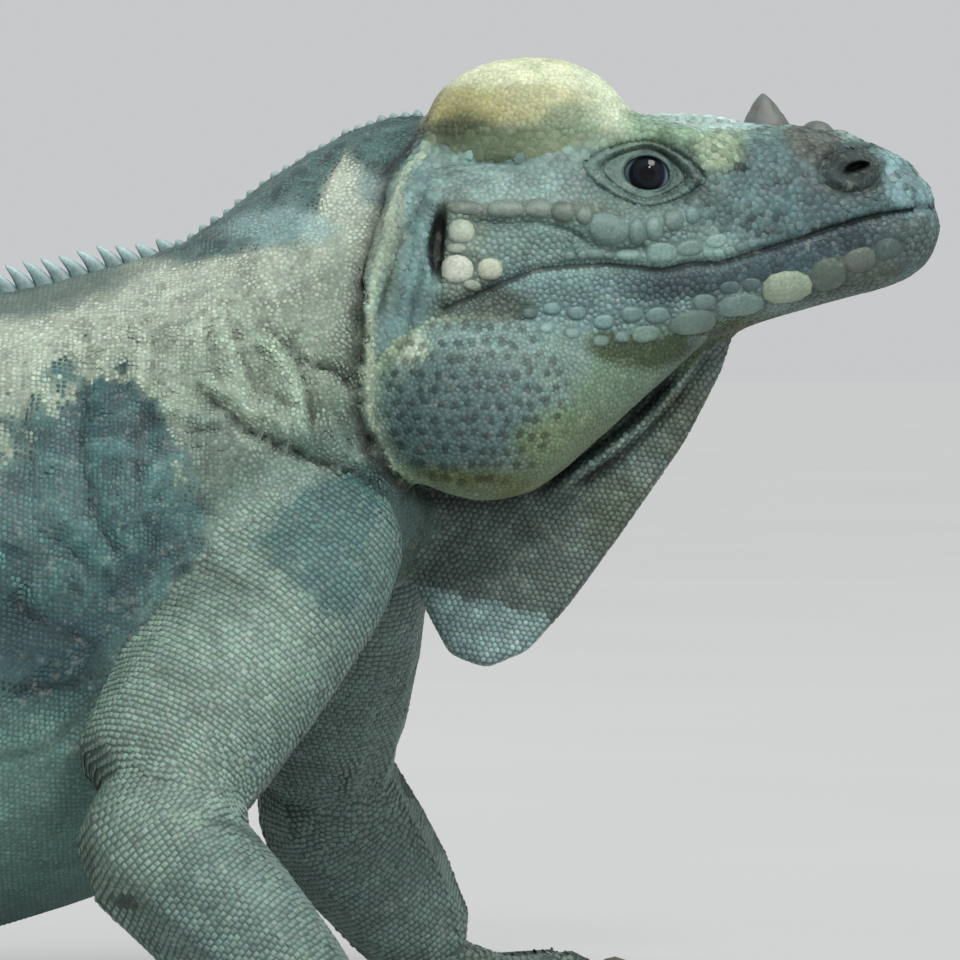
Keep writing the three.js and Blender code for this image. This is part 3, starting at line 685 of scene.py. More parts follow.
def skin_mesh(settings):
    """The whole skin, from the solids of flesh."""
    mesh = joined("flesh", (swollen(copied(name), settings.bridge) for name in FLESH))
    mesh = applied(mesh, type="REMESH", mode="VOXEL", voxel_size=settings.voxel, adaptivity=0.0)
    tree, owner = flesh_tree()
    points = places_of(mesh)
    labels = part_of(points, tree, owner)
    links = neighbour_table(mesh)
    points = drop_spines(points, labels)
    smoothing = np.array([float(SMOOTHING[plain_name(name)]) for name in FLESH])
    rounds = relax(smoothing[labels], links, 12)
    points = put_points(mesh, relax(points, links, np.round(rounds).astype(int)))
    points = put_points(mesh, points - normals_of(mesh) * settings.coat_depth * 1000)
    fill = np.minimum(eye_reach(points) / 0.95, nostril_reach(points) / 1.25)
    fill = np.minimum(fill, np.hypot((points[:, 0] + 9) / 6.4, (points[:, 2] - 158.6) / 11.5))
    fill = (fill < 1) & (np.abs(points[:, 1]) > 6) & is_part(labels, HEAD + ["neck"])
    points = put_points(mesh, relax(points, links, np.where(fill, 160, 0)))
    held = np.where(is_part(labels, HEAD + THROAT), 0.0, 0.8)
    held[is_part(labels, both("upper_arm", "forearm"))] = 0.55
    front = ramp(-125, -70, points[:, 0]) * ramp(60, 95, points[:, 2])
    held = np.round(held * (1 - 0.6 * front), 1)
    ratio = settings.body_triangles / (2.0 * len(mesh.polygons))
    mesh = applied(mesh, type="DECIMATE", ratio=ratio, group=held)
    labels = part_of(places_of(mesh), tree, owner)
    lines = (MOUTH, COLLAR_EDGE, EAR_SLIT, TEMPLE_GROOVE, CASQUE_CREASE, TEMPLE_RIDGE)
    lines = [curve(line) for line in lines]
    folds = [curve(fold[0]) for fold in FOLDS]
    for turn in range(3):
        centres = face_centres(mesh)
        flat = centres[:, [0, 2]]
        label = labels[first_corner(mesh)]
        head = is_part(label, HEAD + THROAT) | (centres[:, 0] > -26) & (centres[:, 2] > 120)
        if turn < 2:
            near = eye_reach(centres) < (1.1, 0.94)[turn]
            near |= nostril_reach(centres) < (1.5, 1.25)[turn]
            away = [np.abs(line_distance(flat, line)[0]) for line in lines]
            away[2] -= 1.5
            near |= np.min(away[: 6 - 2 * turn], axis=0) < (3.0, 1.3)[turn]
        else:
            a, b = eye_place(centres)
            near = np.abs(np.hypot(a, b) - lid_rims(a, b)[1] - 0.1) < 0.5
        near &= (np.abs(centres[:, 1]) > 5) & head
        if turn == 0:
            low = (flat > (-80, 86)).all(axis=1) & (flat < (54, 150)).all(axis=1)
            crowd = np.min([np.abs(line_distance(flat[low], line)[0]) for line in folds], axis=0)
            near[low] |= (crowd < 3.2) & (np.abs(centres[low, 1]) > 3)
        old = len(mesh.vertices)
        refine(mesh, np.flatnonzero(near))
        points = places_of(mesh)
        labels = np.r_[labels, part_of(points[old:], tree, owner)]
        links = neighbour_table(mesh)
        rounds = np.where((links[0] >= old).any(axis=1), 3, 0)
        rounds[old:] = 3
        points = put_points(mesh, relax(points, links, rounds, 0.4))
    points = put_points(mesh, cut_folds(points, normals_of(mesh), labels))
    points = cut_head(points, normals_of(mesh), labels)
    for side in (-1, 1):
        points = form_lids(points, side, bpy.context.scene.iguana_eyes.ball_radius * 1000)
        points = form_nostril(points, side)
    points[:, 2] = np.maximum(points[:, 2], 0.12)
    put_points(mesh, points)
    return mesh, labels


def new_piece(name, mesh, slot, material, *stands_for):
    """Puts a finished mesh into the scene as a piece of the animal."""
    for old in [o for o in bpy.data.objects if o.name == name]:
        bpy.data.objects.remove(old)
    mesh.name = name
    piece = bpy.data.objects.new(name, mesh)
    bpy.context.scene.collection.objects.link(piece)
    mesh.materials.clear()
    mesh.materials.append(material)
    mesh.polygons.foreach_set("use_smooth", np.ones(len(mesh.polygons), bool))
    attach(piece, BODY)
    if stands_for:
        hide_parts(*stands_for)
    return piece


# ---- where the scales grow


class Surface:
    """The finished skin in millimetres, with what the seeds of the scales need to know of it."""

    def __init__(self, mesh, labels):
        self.points = places_of(mesh)
        self.normals = normals_of(mesh)
        self.triangles = triangles_of(mesh)
        self.labels = labels
        self.tree = BVHTree.FromPolygons(self.points.tolist(), self.triangles.tolist())

    def at(self, points):
        """The nearest places on the skin: their position, normal, owner and distance."""
        found = [self.tree.find_nearest(point) for point in points.tolist()]
        place = np.array([hit[0][:] for hit in found])
        face = np.array([hit[2] for hit in found])
        away = np.array([hit[3] for hit in found])
        corners = self.triangles[face]
        return place, unit(self.normals[corners].mean(axis=1)), self.labels[corners[:, 0]], away

    def scattered(self, parts, pitch_at, dice, crowd):
        """Random places on the chosen parts, crowd of them to each scale that will grow there."""
        corners = self.points[self.triangles]
        a, b = corners[:, 1] - corners[:, 0], corners[:, 2] - corners[:, 0]
        area = norm(np.cross(a, b), axis=1) / 2
        wanted = is_part(self.labels[self.triangles[:, 0]], parts)
        centre = corners.mean(axis=1)
        pitch = np.ones(len(area))
        pitch[wanted] = pitch_at(centre[wanted], self.labels[self.triangles[wanted, 0]])
        weight = np.where(wanted, area / pitch**2, 0)
        total = int(weight.sum() * crowd)
        face = dice.choice(len(area), total, p=weight / weight.sum())
        u, v = dice.random((2, total))
        over = u + v > 1
        u[over], v[over] = 1 - u[over], 1 - v[over]
        mix = np.stack([1 - u - v, u, v], axis=1)[:, :, None]
        place = (corners[face] * mix).sum(axis=1)
        normal = unit((self.normals[self.triangles[face]] * mix).sum(axis=1))
        return place, normal, self.labels[self.triangles[face, 0]], pitch[face]


PITCH_ALONG = (
    (-12, 20, 60, 120, 200, 400, 470, 900, 1078),
    (0.86, 0.86, 1, 1.34, 1.7, 2, 2.8, 3, 2),
)
PART_PITCH = {
    "upper_arm": 1.42, "forearm": 1.46, "hand": 1.5, "thigh": 1.8, "shank": 1.8, "foot": 1.7,
    "jowl": 0.98, "dewlap": 1.22, "ear": 1.3,
}

# Ellipses on the side of the head, each with its middle, half length, half height and scale pitch.
HEAD_PITCH = [
    ((74, 173), (30, 16), 1.55),
    ((52, 168), (12, 8), 1.35),
    ((86, 168), (9, 12), 1.5),
    ((44, 186), (14, 3.4), 2.3),
    ((8, 190), (32, 13), 1),
    ((4, 178), (24, 4), 1.9),
    ((58, 154), (40, 6), 1.3),
    ((33.6, 173), (11, 7), 0.8),
]

# Ellipses on the side of the head, each with the share of their usual height that its scales have.
FLAT_PLACES = [
    ((66, 172), (32, 15), 0.4),
    ((8, 170), (24, 6), 0.6),
    ((-15, 158), (7, 26), 0.2),
    ((10, 192), (28, 11), 0.45),
    ((38, 180), (18, 5), 0.4),
    ((33.6, 173), (14, 9), 0.5),
    ((62, 155), (32, 4), 0.4),
    ((74.8, 173.8), (9, 7), 0.3),
    ((43, 186), (12, 2.6), 5),
    ((78, 183.4), (9, 2.6), 4),
    ((4, 176.6), (24, 4.6), 0.25),
]


def head_pitch(points):
    pitch = np.full(len(points), 1.15)
    for middle, half, size in HEAD_PITCH:
        share = ramp(1.15, 0.75, reach_from(points, middle, half))
        pitch = pitch * (1 - share) + size * share
    away = np.abs(line_distance(points[:, [0, 2]], MOUTH)[0])
    return pitch * (0.74 + 0.26 * ramp(1.2, 3.6, away))


def relief_of(points, labels):
    """The share of the usual height and outline that each scale has."""
    relief = np.ones(len(points))
    head = is_part(labels, HEAD + ["neck"]) & (points[:, 0] > -26)
    for middle, half, size in FLAT_PLACES:
        share = ramp(1.2, 0.8, reach_from(points, middle, half)) * head
        relief = relief * (1 - share) + size * share
    relief[is_part(labels, JOWLS)] = 0.5
    return relief


def pitch_of(points, labels):
    """How far apart the scales grow at each point."""
    pitch = np.interp(along_line(points)[0], *PITCH_ALONG)
    head = is_part(labels, HEAD)
    pitch[head] = head_pitch(points[head])
    for number, name in enumerate(FLESH):
        pitch[labels == number] = PART_PITCH.get(plain_name(name), pitch[labels == number])
    return pitch


def lie_of(points, normals, labels):
    """The way the scales point: to the rear, down the limbs and down the dewlap."""
    along = along_line(points)[0]
    index = ((along + MIDLINE_LEAD) / MIDLINE_STEP).astype(int).clip(0, len(LINE) - 1)
    way = np.zeros((len(points), 3))
    way[:, :2] = LINE_WAY[index]
    way[is_part(labels, HEAD)] = (-1, 0, 0)
    way[is_part(labels, ["dewlap"])] = (-0.4, 0, -1)
    for (limb, side), joints in LIMB_JOINTS.items():
        upper, lower, paw = (f"{part}_{side}" for part in LIMB_PARTS[limb])
        way[labels == FLESH.index(upper)] = np.subtract(joints[1], joints[0])
        way[labels == FLESH.index(lower)] = np.subtract(joints[2], joints[1])
        way[labels == FLESH.index(paw)] = (1, 0, -0.3)
    way = unit(way)
    flat = way - np.einsum("ij,ij->i", way, normals)[:, None] * normals
    weak = norm(flat, axis=1) < 0.2
    flat[weak] = np.cross(normals[weak], (0, 1, 0.3))
    return unit(flat)


ROW = 0.866  # from one row of a six-sided lattice to the next, as a share of its step


def rings(surface, centres, ways, steps, rays):
    """Places in rings about an axis, a step apart, every other ring shifted by half a step."""
    turn = np.linspace(0, 2 * math.pi, rays, endpoint=False)
    found = []
    count = 0
    for k, (centre, way, step) in enumerate(zip(centres, ways, steps)):
        side = unit(np.cross(way, (0, 0, 1)))
        up = np.cross(side, way)
        spread = np.cos(turn)[:, None] * up + np.sin(turn)[:, None] * side
        hits = [surface.tree.ray_cast(centre, ray)[0] for ray in spread.tolist()]
        hits = [hit for hit in hits if hit is not None]
        if len(hits) < rays * 0.6:
            continue
        ring = np.array(hits + hits[:1])
        lengths = np.r_[0, np.cumsum(norm(np.diff(ring, axis=0), axis=1))]
        if not count or abs(lengths[-1] / (count * step) - 1) > 0.10:
            count = max(5, round(lengths[-1] / step))
        wanted = (np.arange(count) + 0.5 * (k % 2)) * lengths[-1] / count
        found.append(np.stack([np.interp(wanted, lengths, column) for column in ring.T], axis=1))
    return np.vstack(found)


def body_rings(surface, spacing):
    """The rings of the trunk and the tail."""
    places, ways, steps = [], [], []
    along = -10.0
    while along < 1079:
        step = float(np.interp(along, *PITCH_ALONG)) * spacing
        x, y, way = midline_at(along)
        top = surface.tree.ray_cast((x, y, 400), (0, 0, -1))[0]
        low = surface.tree.ray_cast((x, y, -20), (0, 0, 1))[0]
        if top and low and top.z - low.z > 1:
            places.append((x, y, (top.z * 0.55 + low.z * 0.45)))
            ways.append(way)
            steps.append(step)
        along += step * ROW
    return rings(surface, places, np.array(ways), steps, 150)


def limb_rings(surface, limb, joints, spacing):
    """The rings of one limb, down to the wrist or the ankle."""
    step = PART_PITCH[LIMB_PARTS[limb][0]] * spacing
    places = resample(catmull_rom(joints, 40), step * ROW)
    ways = unit(np.gradient(places, axis=0))
    return rings(surface, places.tolist(), ways, [step] * len(places), 64)


def dewlap_rows(surface, step):
    """Rows of scales on both faces of the dewlap, slanting with its front edge."""
    row, column = np.divmod(np.arange(120 * 120), 120)
    a, b = (column - 60 + 0.5 * (row % 2)) * step, (row - 60) * step * ROW
    slant = math.radians(52)
    x = 20 + a * math.cos(slant) - b * math.sin(slant)
    z = 105 + a * math.sin(slant) + b * math.cos(slant)
    flat = np.stack([x, z], axis=1)[(x > -16) & (x < 62) & (z > 68) & (z < 142)]
    found = [cast_side(surface, flat, side) for side in (-1, 1)]
    return np.vstack([place[good] for place, _, good in found])


def thinned(places, gap, order):
    """Which places stay when each, in order, drives off the later ones that are nearer than its gap."""
    tree = search_tree(places)
    alive = np.ones(len(places), bool)
    kept = np.zeros(len(places), bool)
    for k in order.tolist():
        if alive[k]:
            kept[k] = True
            for _, other, _ in tree.find_range(places[k], gap[k]):
                alive[other] = False
    return kept


def settled(places, candidates, rounds):
    """The places after each has moved to the middle of its nearest candidates."""
    for _ in range(rounds):
        tree = search_tree(places)
        owner = np.array([tree.find(place)[1] for place in candidates.tolist()])
        total = np.bincount(owner, minlength=len(places))
        for axis in range(3):
            mean = np.bincount(owner, candidates[:, axis], minlength=len(places)) / np.maximum(total, 1)
            places[:, axis] = np.where(total > 0, mean, places[:, axis])
    return places


# Large scales of the side of the head: middle, length, height, tilt and rise.
PLATES = [
    ((87.4, 172.6), 4.8, 8.6, 14, 0.6), ((89.2, 165.9), 3.6, 2.6, 0, 0.5),
    ((-2.6, 166), 7, 2.7, -2, 0.5), ((5.4, 165.8), 7, 3.4, 0, 0.7), ((11.9, 165.9), 5, 3.8, 0, 0.8),
    ((16.9, 165.2), 4.6, 3.9, -8, 0.9), ((21, 164.6), 3.2, 3.6, -14, 0.8),
    ((25.8, 162), 7.6, 6, -18, 1.1),
    ((31.4, 161.4), 3.1, 5.2, 0, 0.9), ((34.9, 162), 3.1, 4.7, 6, 0.9), ((38.7, 163.8), 3.9, 4.2, 12, 0.8),
    ((42.5, 164.9), 2.8, 3.5, 14, 0.7), ((36.2, 157.2), 6, 4, 6, 0.7), ((42.1, 158.2), 5.2, 3, 8, 0.6),
    ((29.6, 156.8), 4.4, 2.4, 0, 0.5), ((47.4, 159.6), 4.2, 2.6, 12, 0.5), ((23, 157), 4, 2.2, -6, 0.5),
    ((-3.4, 161.4), 5.1, 4.5, 0, 1.2), ((-4.3, 158), 3.9, 2, 0, 0.7), ((-4, 154), 6, 5.2, 0, 1.6),
    ((2.4, 153.9), 4.8, 4.1, 0, 1.4), ((-1.2, 150.8), 3.5, 2, -14, 0.9),
    ((61.5, 150.5), 9.6, 5.9, 8, 1), ((69.8, 153.1), 6.8, 6, 14, 0.7), ((76.5, 156.1), 6.2, 4.5, 14, 0.6),
    ((82, 158.3), 5.2, 3.9, 14, 0.5), ((52.3, 146.9), 9.2, 4.2, 8, 0.7), ((50.2, 150.4), 3.9, 2.4, 6, 0.5),
    ((54.5, 151), 3.6, 2.6, 8, 0.5), ((42.9, 143.6), 9, 4.6, 10, 0.8), ((44.9, 147.5), 4.3, 3, 6, 0.6),
    ((35.6, 144.9), 4.8, 3, 8, 0.8), ((30.4, 145), 4.4, 3, 4, 0.9), ((33.4, 141.2), 5.4, 3.2, 10, 0.7),
    ((24.9, 143.6), 3.9, 2.8, 6, 1), ((19.4, 145.4), 3.6, 2.6, 0, 1), ((14.6, 146.2), 3.4, 2.4, 0, 1),
    ((10.2, 145.2), 3, 2.2, 0, 0.9), ((13.6, 142.4), 3, 2.2, 0, 0.9), ((18.6, 141.4), 3.2, 2.3, 0, 0.9),
    ((24.4, 139.8), 3.2, 2.3, 0, 0.8), ((28.6, 140.6), 3, 2.2, 0, 0.8),
]
PLATE_TINTS = [
    ((-3.4, 161.4), (0.27, 0.33, 0.26)), ((-4.3, 158), (0.20, 0.25, 0.20)),
    ((-4, 154), (0.42, 0.46, 0.39)), ((2.4, 153.9), (0.36, 0.40, 0.31)),
    ((-1.2, 150.8), (0.22, 0.27, 0.21)), ((61.5, 150.5), (0.27, 0.34, 0.25)),
    ((42.9, 143.6), (0.115, 0.18, 0.155)),
]
PLATE_GROWTH = 1.14
PLATE_CORNERS = 12
LIP_BEAD = (2.5, 1.9)
LIP_BEAD_RISE = 0.4


def plate_list():
    """All the large scales of one side of the head, with the beads along the upper lip."""
    found = [(at, wide * PLATE_GROWTH, high * PLATE_GROWTH, *rest) for at, wide, high, *rest in PLATES]
    line = curve(MOUTH, 0.5)
    way = unit(np.gradient(line, axis=0))
    length, height = LIP_BEAD
    for k in range(6, len(line) - 24, round((length + 0.15) * 2)):
        x, z = line[k] + height * np.array([way[k, 1], -way[k, 0]])
        tilt = math.degrees(math.atan2(-way[k, 1], -way[k, 0]))
        apart = min(math.hypot(x - p[0][0], z - p[0][1]) - 0.42 * (p[1] + length) for p in PLATES)
        if apart > -0.5 and 16 < x < 56:
            found.append(((x, z), length, height, tilt, LIP_BEAD_RISE))
    return found


def plate_ring(plate, share, grow=0.0):
    """Places round a plate, seen from the side, at a share of its reach."""
    (x, z), length, height, tilt, _ = plate
    turn = np.linspace(0, 2 * math.pi, PLATE_CORNERS, endpoint=False)
    round_off = (np.abs(np.cos(turn)) ** 2.5 + np.abs(np.sin(turn)) ** 2.5) ** (-1 / 2.5)
    round_off *= 1 + 0.07 * np.sin(turn * 2 + x * 3.1) * np.cos(turn + z * 2.3)
    a = (length / 2 + grow) * round_off * np.cos(turn) * share
    b = (height / 2 + grow) * round_off * np.sin(turn) * share
    c, s = math.cos(math.radians(tilt)), math.sin(math.radians(tilt))
    return np.stack([x + a * c - b * s, z + a * s + b * c], axis=1)


def cast_side(surface, flat, side):
    """Where lines from the side meet the head, and the skin's normals there."""
    hits = [surface.tree.ray_cast((x, side * 90, z), (0, -side, 0)) for x, z in flat.tolist()]
    good = np.array([hit[0] is not None and hit[0].y * side > 1 for hit in hits])
    place = np.array([hit[0][:] if ok else (0, 0, 0) for hit, ok in zip(hits, good)])
    face = np.array([hit[2] if ok else 0 for hit, ok in zip(hits, good)])
    normal = unit(surface.normals[surface.triangles[face]].mean(axis=1))
    return place, normal, good


def bare(points, labels):
    """Where no scale grows: the eye's opening, the gape of the mouth, the ear's slit and the nostril's."""
    head = is_part(labels, HEAD + ["neck"]) & (points[:, 0] > -30)
    away = np.abs(points[:, 1])
    a, b = eye_place(points)
    eye = (np.hypot(a, b) < lid_rims(a, b)[2] - 0.2) & (away > 8)
    mouth = np.abs(line_distance(points[:, [0, 2]], MOUTH)[0]) < 0.5
    slit = (nostril_reach(points) < 0.92) & (away > 4)
    ear = (ear_reach(points) < 0.95) & (away > 8)
    return head & (eye | mouth | slit | ear)


def plates_and_ghosts(surface):
    """The plates that fit on the head, and the places inside them where no small scale may grow."""
    plates, ghosts = [], []
    for side in (-1, 1):
        for plate in plate_list():
            place, _, good = cast_side(surface, plate_ring(plate, 1), side)
            if good.all() and np.ptp(place[:, 1]) < 9:
                inner = np.vstack([plate_ring(plate, 1, -0.75), [plate[0]]])
                plates.append((side, plate))
                ghosts.append(cast_side(surface, inner, side)[0])
    return plates, np.vstack(ghosts)


def pavement_of(surface, ghosts, pitch_at, dice):
    """Irregular, evenly spread places on the head, the neck, the jowls and the paws."""
    paved = HEAD + ["neck"] + JOWLS + both("hand", "foot")
    cloud, _, label, pitch = surface.scattered(paved, pitch_at, dice, 9)
    free = ~bare(cloud, label)
    cloud, pitch = cloud[free], pitch[free]
    ghost_tree = search_tree(ghosts)
    head = cloud[:, 2] > 105
    apart = np.full(len(cloud), 9.0)
    apart[head] = [ghost_tree.find(place)[2] for place in cloud[head].tolist()]
    cloud, pitch = cloud[apart > 1.3], pitch[apart > 1.3]
    kept = thinned(cloud, pitch * 0.86, dice.permutation(len(cloud)))
    return settled(cloud[kept].copy(), cloud, 2)


def grow_seeds(surface, settings):
    """Every scale's root: its place, normal, owner and pitch, and the places that only press on others."""
    dice = np.random.default_rng(settings.seed)
    spacing = settings.spacing
    plates, ghosts = plates_and_ghosts(surface)

    def pitch_at(points, labels):
        return pitch_of(points, labels) * spacing

    pavement = pavement_of(surface, ghosts, pitch_at, dice)
    lattice = [(body_rings(surface, spacing), TRUNK[1:] + TAIL)]
    for (limb, side), joints in LIMB_JOINTS.items():
        parts = [f"{part}_{side}" for part in LIMB_PARTS[limb][:2]]
        lattice.append((limb_rings(surface, limb, joints, spacing), parts))
    lattice.append((dewlap_rows(surface, PART_PITCH["dewlap"] * spacing), ["dewlap"]))
    jitter = [part + 0.13 * dice.standard_normal(part.shape).clip(-1.6, 1.6) for part, _ in lattice]
    place, normal, label, away = surface.at(np.vstack([pavement] + jitter))
    source = np.repeat(np.arange(len(lattice) + 1), [len(pavement)] + [len(part) for part, _ in lattice])
    allowed = source == 0
    for k, (_, parts) in enumerate(lattice):
        allowed |= (source == k + 1) & is_part(label, parts)
    allowed &= (away < 0.8) & ~bare(place, label)
    place, normal, label = place[allowed], normal[allowed], label[allowed]
    pitch = pitch_at(place, label)

    spare = surface.scattered(FLESH, pitch_at, dice, 2.6)
    free = ~bare(spare[0], spare[2])
    spare, spare_normal, spare_label, spare_pitch = (part[free] for part in spare)
    first, last = len(ghosts), len(ghosts) + len(place)
    everything = np.vstack([ghosts, place, spare])
    gap = np.r_[np.full(first, 0.9), pitch * 0.62, spare_pitch * 0.80]
    kept = thinned(everything, gap, np.r_[np.arange(last), last + dice.permutation(len(spare))])
    near = search_tree(everything[:last][kept[:last]])
    late = np.flatnonzero(kept[last:])
    late = late[np.array([near.find(spot)[2] for spot in spare[late].tolist()]) > spare_pitch[late] * 0.78]
    stays = kept[first:last]
    return {
        "place": np.vstack([place[stays], spare[late]]),
        "normal": np.vstack([normal[stays], spare_normal[late]]),
        "label": np.r_[label[stays], spare_label[late]],
        "pitch": np.r_[pitch[stays], spare_pitch[late]],
        "ghosts": ghosts,
        "plates": plates,
    }


NEIGHBOURS = 9


def cells(seeds, lie, sides):
    """Each scale's outline as far as its neighbours: six corners, or the four of a brick."""
    place, pitch = seeds["place"], seeds["pitch"][:, None]
    everyone = np.vstack([place, seeds["ghosts"]])
    tree = search_tree(everyone)
    near = np.array([[hit[1] for hit in tree.find_n(spot, NEIGHBOURS + 1)[1:]] for spot in place.tolist()])
    across = np.cross(seeds["normal"], lie)
    offset = everyone[near] - place[:, None, :]
    u = np.einsum("ijk,ik->ij", offset, lie)
    v = np.einsum("ijk,ik->ij", offset, across)
    size = np.r_[seeds["pitch"], np.full(len(seeds["ghosts"]), 1.5)]
    weight = pitch / (pitch + size[near])
    square = u * u + v * v
    turn = np.linspace(0, 2 * math.pi, sides, endpoint=False)
    reach = np.empty((len(place), sides))
    for k, angle in enumerate(turn):
        toward = u * math.cos(angle) + v * math.sin(angle)
        limit = np.where(toward > 1e-3, weight * square / np.maximum(toward, 1e-3), 1e9)
        reach[:, k] = limit.min(axis=1)
    reach = np.minimum(reach, pitch * 0.74)
    if sides == 4:
        long = reach[:, (0, 2, 2, 0)] * (0.75, -0.75, -0.75, 0.75)
        wide = reach[:, (1, 1, 3, 3)] * (1, 1, -1, -1)
        return np.stack([long, wide], axis=2), across
    return reach[:, :, None] * np.stack([np.cos(turn), np.sin(turn)], axis=1), across


# ---- markings, with painted shade and highlights

WASH = (0.77, 0.855, 0.835)
TAN = (0.56, 0.58, 0.49)
SAND = (0.29, 0.35, 0.275)
SHOULDER = (0.135, 0.195, 0.165)
STRIP = (0.13, 0.175, 0.15)
NUCHAL = np.array((0.060, 0.115, 0.110))
TEAL = np.array((0.060, 0.145, 0.145))
DEEP_TEAL = (0.032, 0.082, 0.092)
FLANK = (0.15, 0.26, 0.235)
PAINTED_BELLY_SHADE = (0.07, 0.105, 0.09)
OLIVE = np.array((0.15, 0.185, 0.15))
LIMB = np.array((0.225, 0.305, 0.262))
PAW = (0.14, 0.19, 0.165)
HEAD_BASE = (0.18, 0.265, 0.245)
BACK_TOP = (
    (-12, 0, 30, 60, 90, 125, 190, 260, 350, 425, 560, 740, 1078),
    (186, 185, 178, 160, 151, 147, 142, 132, 107, 80, 61, 33, 5),
)
# The lower edge of the dark band along the nape, and the upper edge of the dark patch on the flank.
NUCHAL_EDGE = (
    (-66, -56, -48, -42, -36, -32.6, -31, -27.6, -26, -24.4, -21.8, -14.8, -11.6),
    (155.6, 156, 157.5, 158, 159.4, 164, 169, 175, 181.5, 176, 173, 171.5, 170),
)
FLANK_EDGE = (
    (-300, -200, -120, -96, -90, -84, -76, -70, -66, -61, -57, -54.4, -52, -49.6),
    (100, 112, 118, 120, 122, 128, 130, 129, 125.6, 120, 113, 106, 97, 70),
)

# Ellipses of colour seen from the side, each with its middle, half length, half height, colour and strength.
BODY_MARKS = [
    ((-20, 180), (10, 5), (0.06, 0.11, 0.105), 0.9),
    ((-19, 171), (5, 5), (0.16, 0.25, 0.26), 0.8),
    ((-27.5, 145), (4.5, 13), (0.20, 0.245, 0.20), 0.6),
    ((-24, 114), (14, 9), (0.12, 0.17, 0.15), 0.6),
    ((-30, 136), (16, 12), (0.26, 0.31, 0.24), 0.4),
    # Painted shadow of the shoulder's fold, a darker tan.
    ((-53, 118), (6, 9), (0.13, 0.18, 0.155), 0.75),
]
NAPE_MARKS = [
    ((-39, 162.6), (11, 4), (0.27, 0.39, 0.39), 0.8),
]
MARKS = [
    ((76, 160), (24, 14), (0.10, 0.165, 0.175), 0.9),
    ((66, 172), (24, 10), (0.065, 0.118, 0.125), 0.9),
    ((50, 168), (12, 5), (0.10, 0.17, 0.175), 0.7),
    ((50, 186.6), (20, 4), (0.50, 0.68, 0.70), 0.95),
    ((76, 183.5), (14, 3.4), (0.38, 0.46, 0.45), 0.8),
    ((89, 176), (9, 8), (0.30, 0.47, 0.50), 0.85),
    ((67, 180), (6, 5), (0.085, 0.085, 0.075), 0.85),
    # The nostril's ring: its own dark grey, darkened further as painted shade inside the ring.
    ((75, 173.6), (8, 5.5), (0.035, 0.05, 0.048), 0.9),
    ((87, 170.4), (4.6, 5), (0.19, 0.30, 0.32), 0.8),
    ((84, 160), (12, 5), (0.085, 0.115, 0.105), 0.7),
    ((50, 147.6), (22, 4.4), (0.19, 0.26, 0.245), 0.5),
    ((76, 154), (9, 4), (0.13, 0.11, 0.085), 0.6),
    ((74, 150), (16, 5), (0.07, 0.10, 0.07), 0.6),
    ((62, 140.6), (28, 4.6), (0.045, 0.07, 0.022), 0.95),
    ((38, 136), (22, 4), (0.045, 0.07, 0.022), 0.9),
    ((14, 158), (24, 5), (0.16, 0.235, 0.22), 0.8),
    ((18, 148), (24, 6), (0.15, 0.235, 0.24), 0.8),
    ((0, 146), (12, 5), (0.04, 0.055, 0.04), 0.9),
    ((8, 170), (20, 5.5), (0.23, 0.315, 0.30), 0.85),
    ((12, 165.6), (20, 2), (0.16, 0.17, 0.125), 0.6),
    ((33.6, 173), (15, 9), (0.125, 0.18, 0.165), 0.85),
    ((36, 181.5), (18, 4.4), (0.21, 0.30, 0.20), 0.9),
    ((48, 177.4), (5, 3.6), (0.40, 0.48, 0.32), 0.85),
    ((-3.4, 158), (6, 11), (0.16, 0.20, 0.17), 0.8),
    ((33.6, 173), (9.5, 6), (0.12, 0.175, 0.16), 0.9),
    ((-15, 158), (7, 28), (0.125, 0.21, 0.21), 0.85),
    ((-17.6, 166), (3, 18), (0.15, 0.18, 0.13), 0.7),
    ((49, 187.2), (16, 4.8), (0.54, 0.65, 0.65), 0.95),
    ((86, 172), (4.6, 4.2), (0.27, 0.41, 0.44), 0.8),
]
JOWL_ROUND = ((-1, 127.5), (21.6, 19))
DEWLAP_MARKS = [
    # Painted shadow in the throat's fold under the jaw.
    ((31, 129), (8, 6), (0.03, 0.045, 0.035), 0.75),
    ((30, 104), (9, 9), (0.12, 0.145, 0.09), 0.6),
    ((43, 122), (7, 9), (0.11, 0.13, 0.08), 0.6),
]
CASQUE_MARKS = [
    ((8, 188), (34, 22), (0.48, 0.48, 0.30), 1),
    ((11, 196), (26, 9), (0.70, 0.69, 0.48), 0.95),
    ((27, 189), (9, 13), (0.68, 0.71, 0.53), 0.85),
    ((-4, 185.4), (11, 5), (0.38, 0.32, 0.12), 0.8),
    ((10, 187), (14, 4.4), (0.34, 0.31, 0.15), 0.7),
    ((-4, 178), (14, 6.6), (0.055, 0.07, 0.035), 0.95),
    ((14, 177.8), (18, 5.6), (0.13, 0.17, 0.10), 0.9),
    ((20, 183.6), (7, 3.6), (0.20, 0.26, 0.17), 0.7),
]
JOWL_MARKS = [
    ((0, 128), (30, 24), (0.16, 0.23, 0.205), 1),
    ((0, 142), (20, 5), (0.19, 0.29, 0.28), 0.7),
    ((-2, 126), (15, 11), (0.085, 0.145, 0.15), 0.8),
    # Painted highlight on the upper rear of the jowl, a pale cream spot.
    ((-14.6, 138.6), (5, 3.4), (0.54, 0.60, 0.46), 0.8),
    ((-2, 109), (26, 6), (0.13, 0.155, 0.045), 0.9),
    ((20, 118), (13, 9), (0.15, 0.20, 0.10), 0.85),
    ((30, 130), (12, 8), (0.14, 0.20, 0.12), 0.7),
    ((1, 146.6), (12, 3.6), (0.045, 0.06, 0.045), 0.9),
    ((33, 138.6), (11, 4.6), (0.03, 0.05, 0.015), 0.95),
]


def overlaid(shade, colour, share):
    """One colour or set of colours laid over another, by a share for each point."""
    share = np.asarray(share)[:, None]
    return np.asarray(shade) * (1 - share) + np.asarray(colour) * share


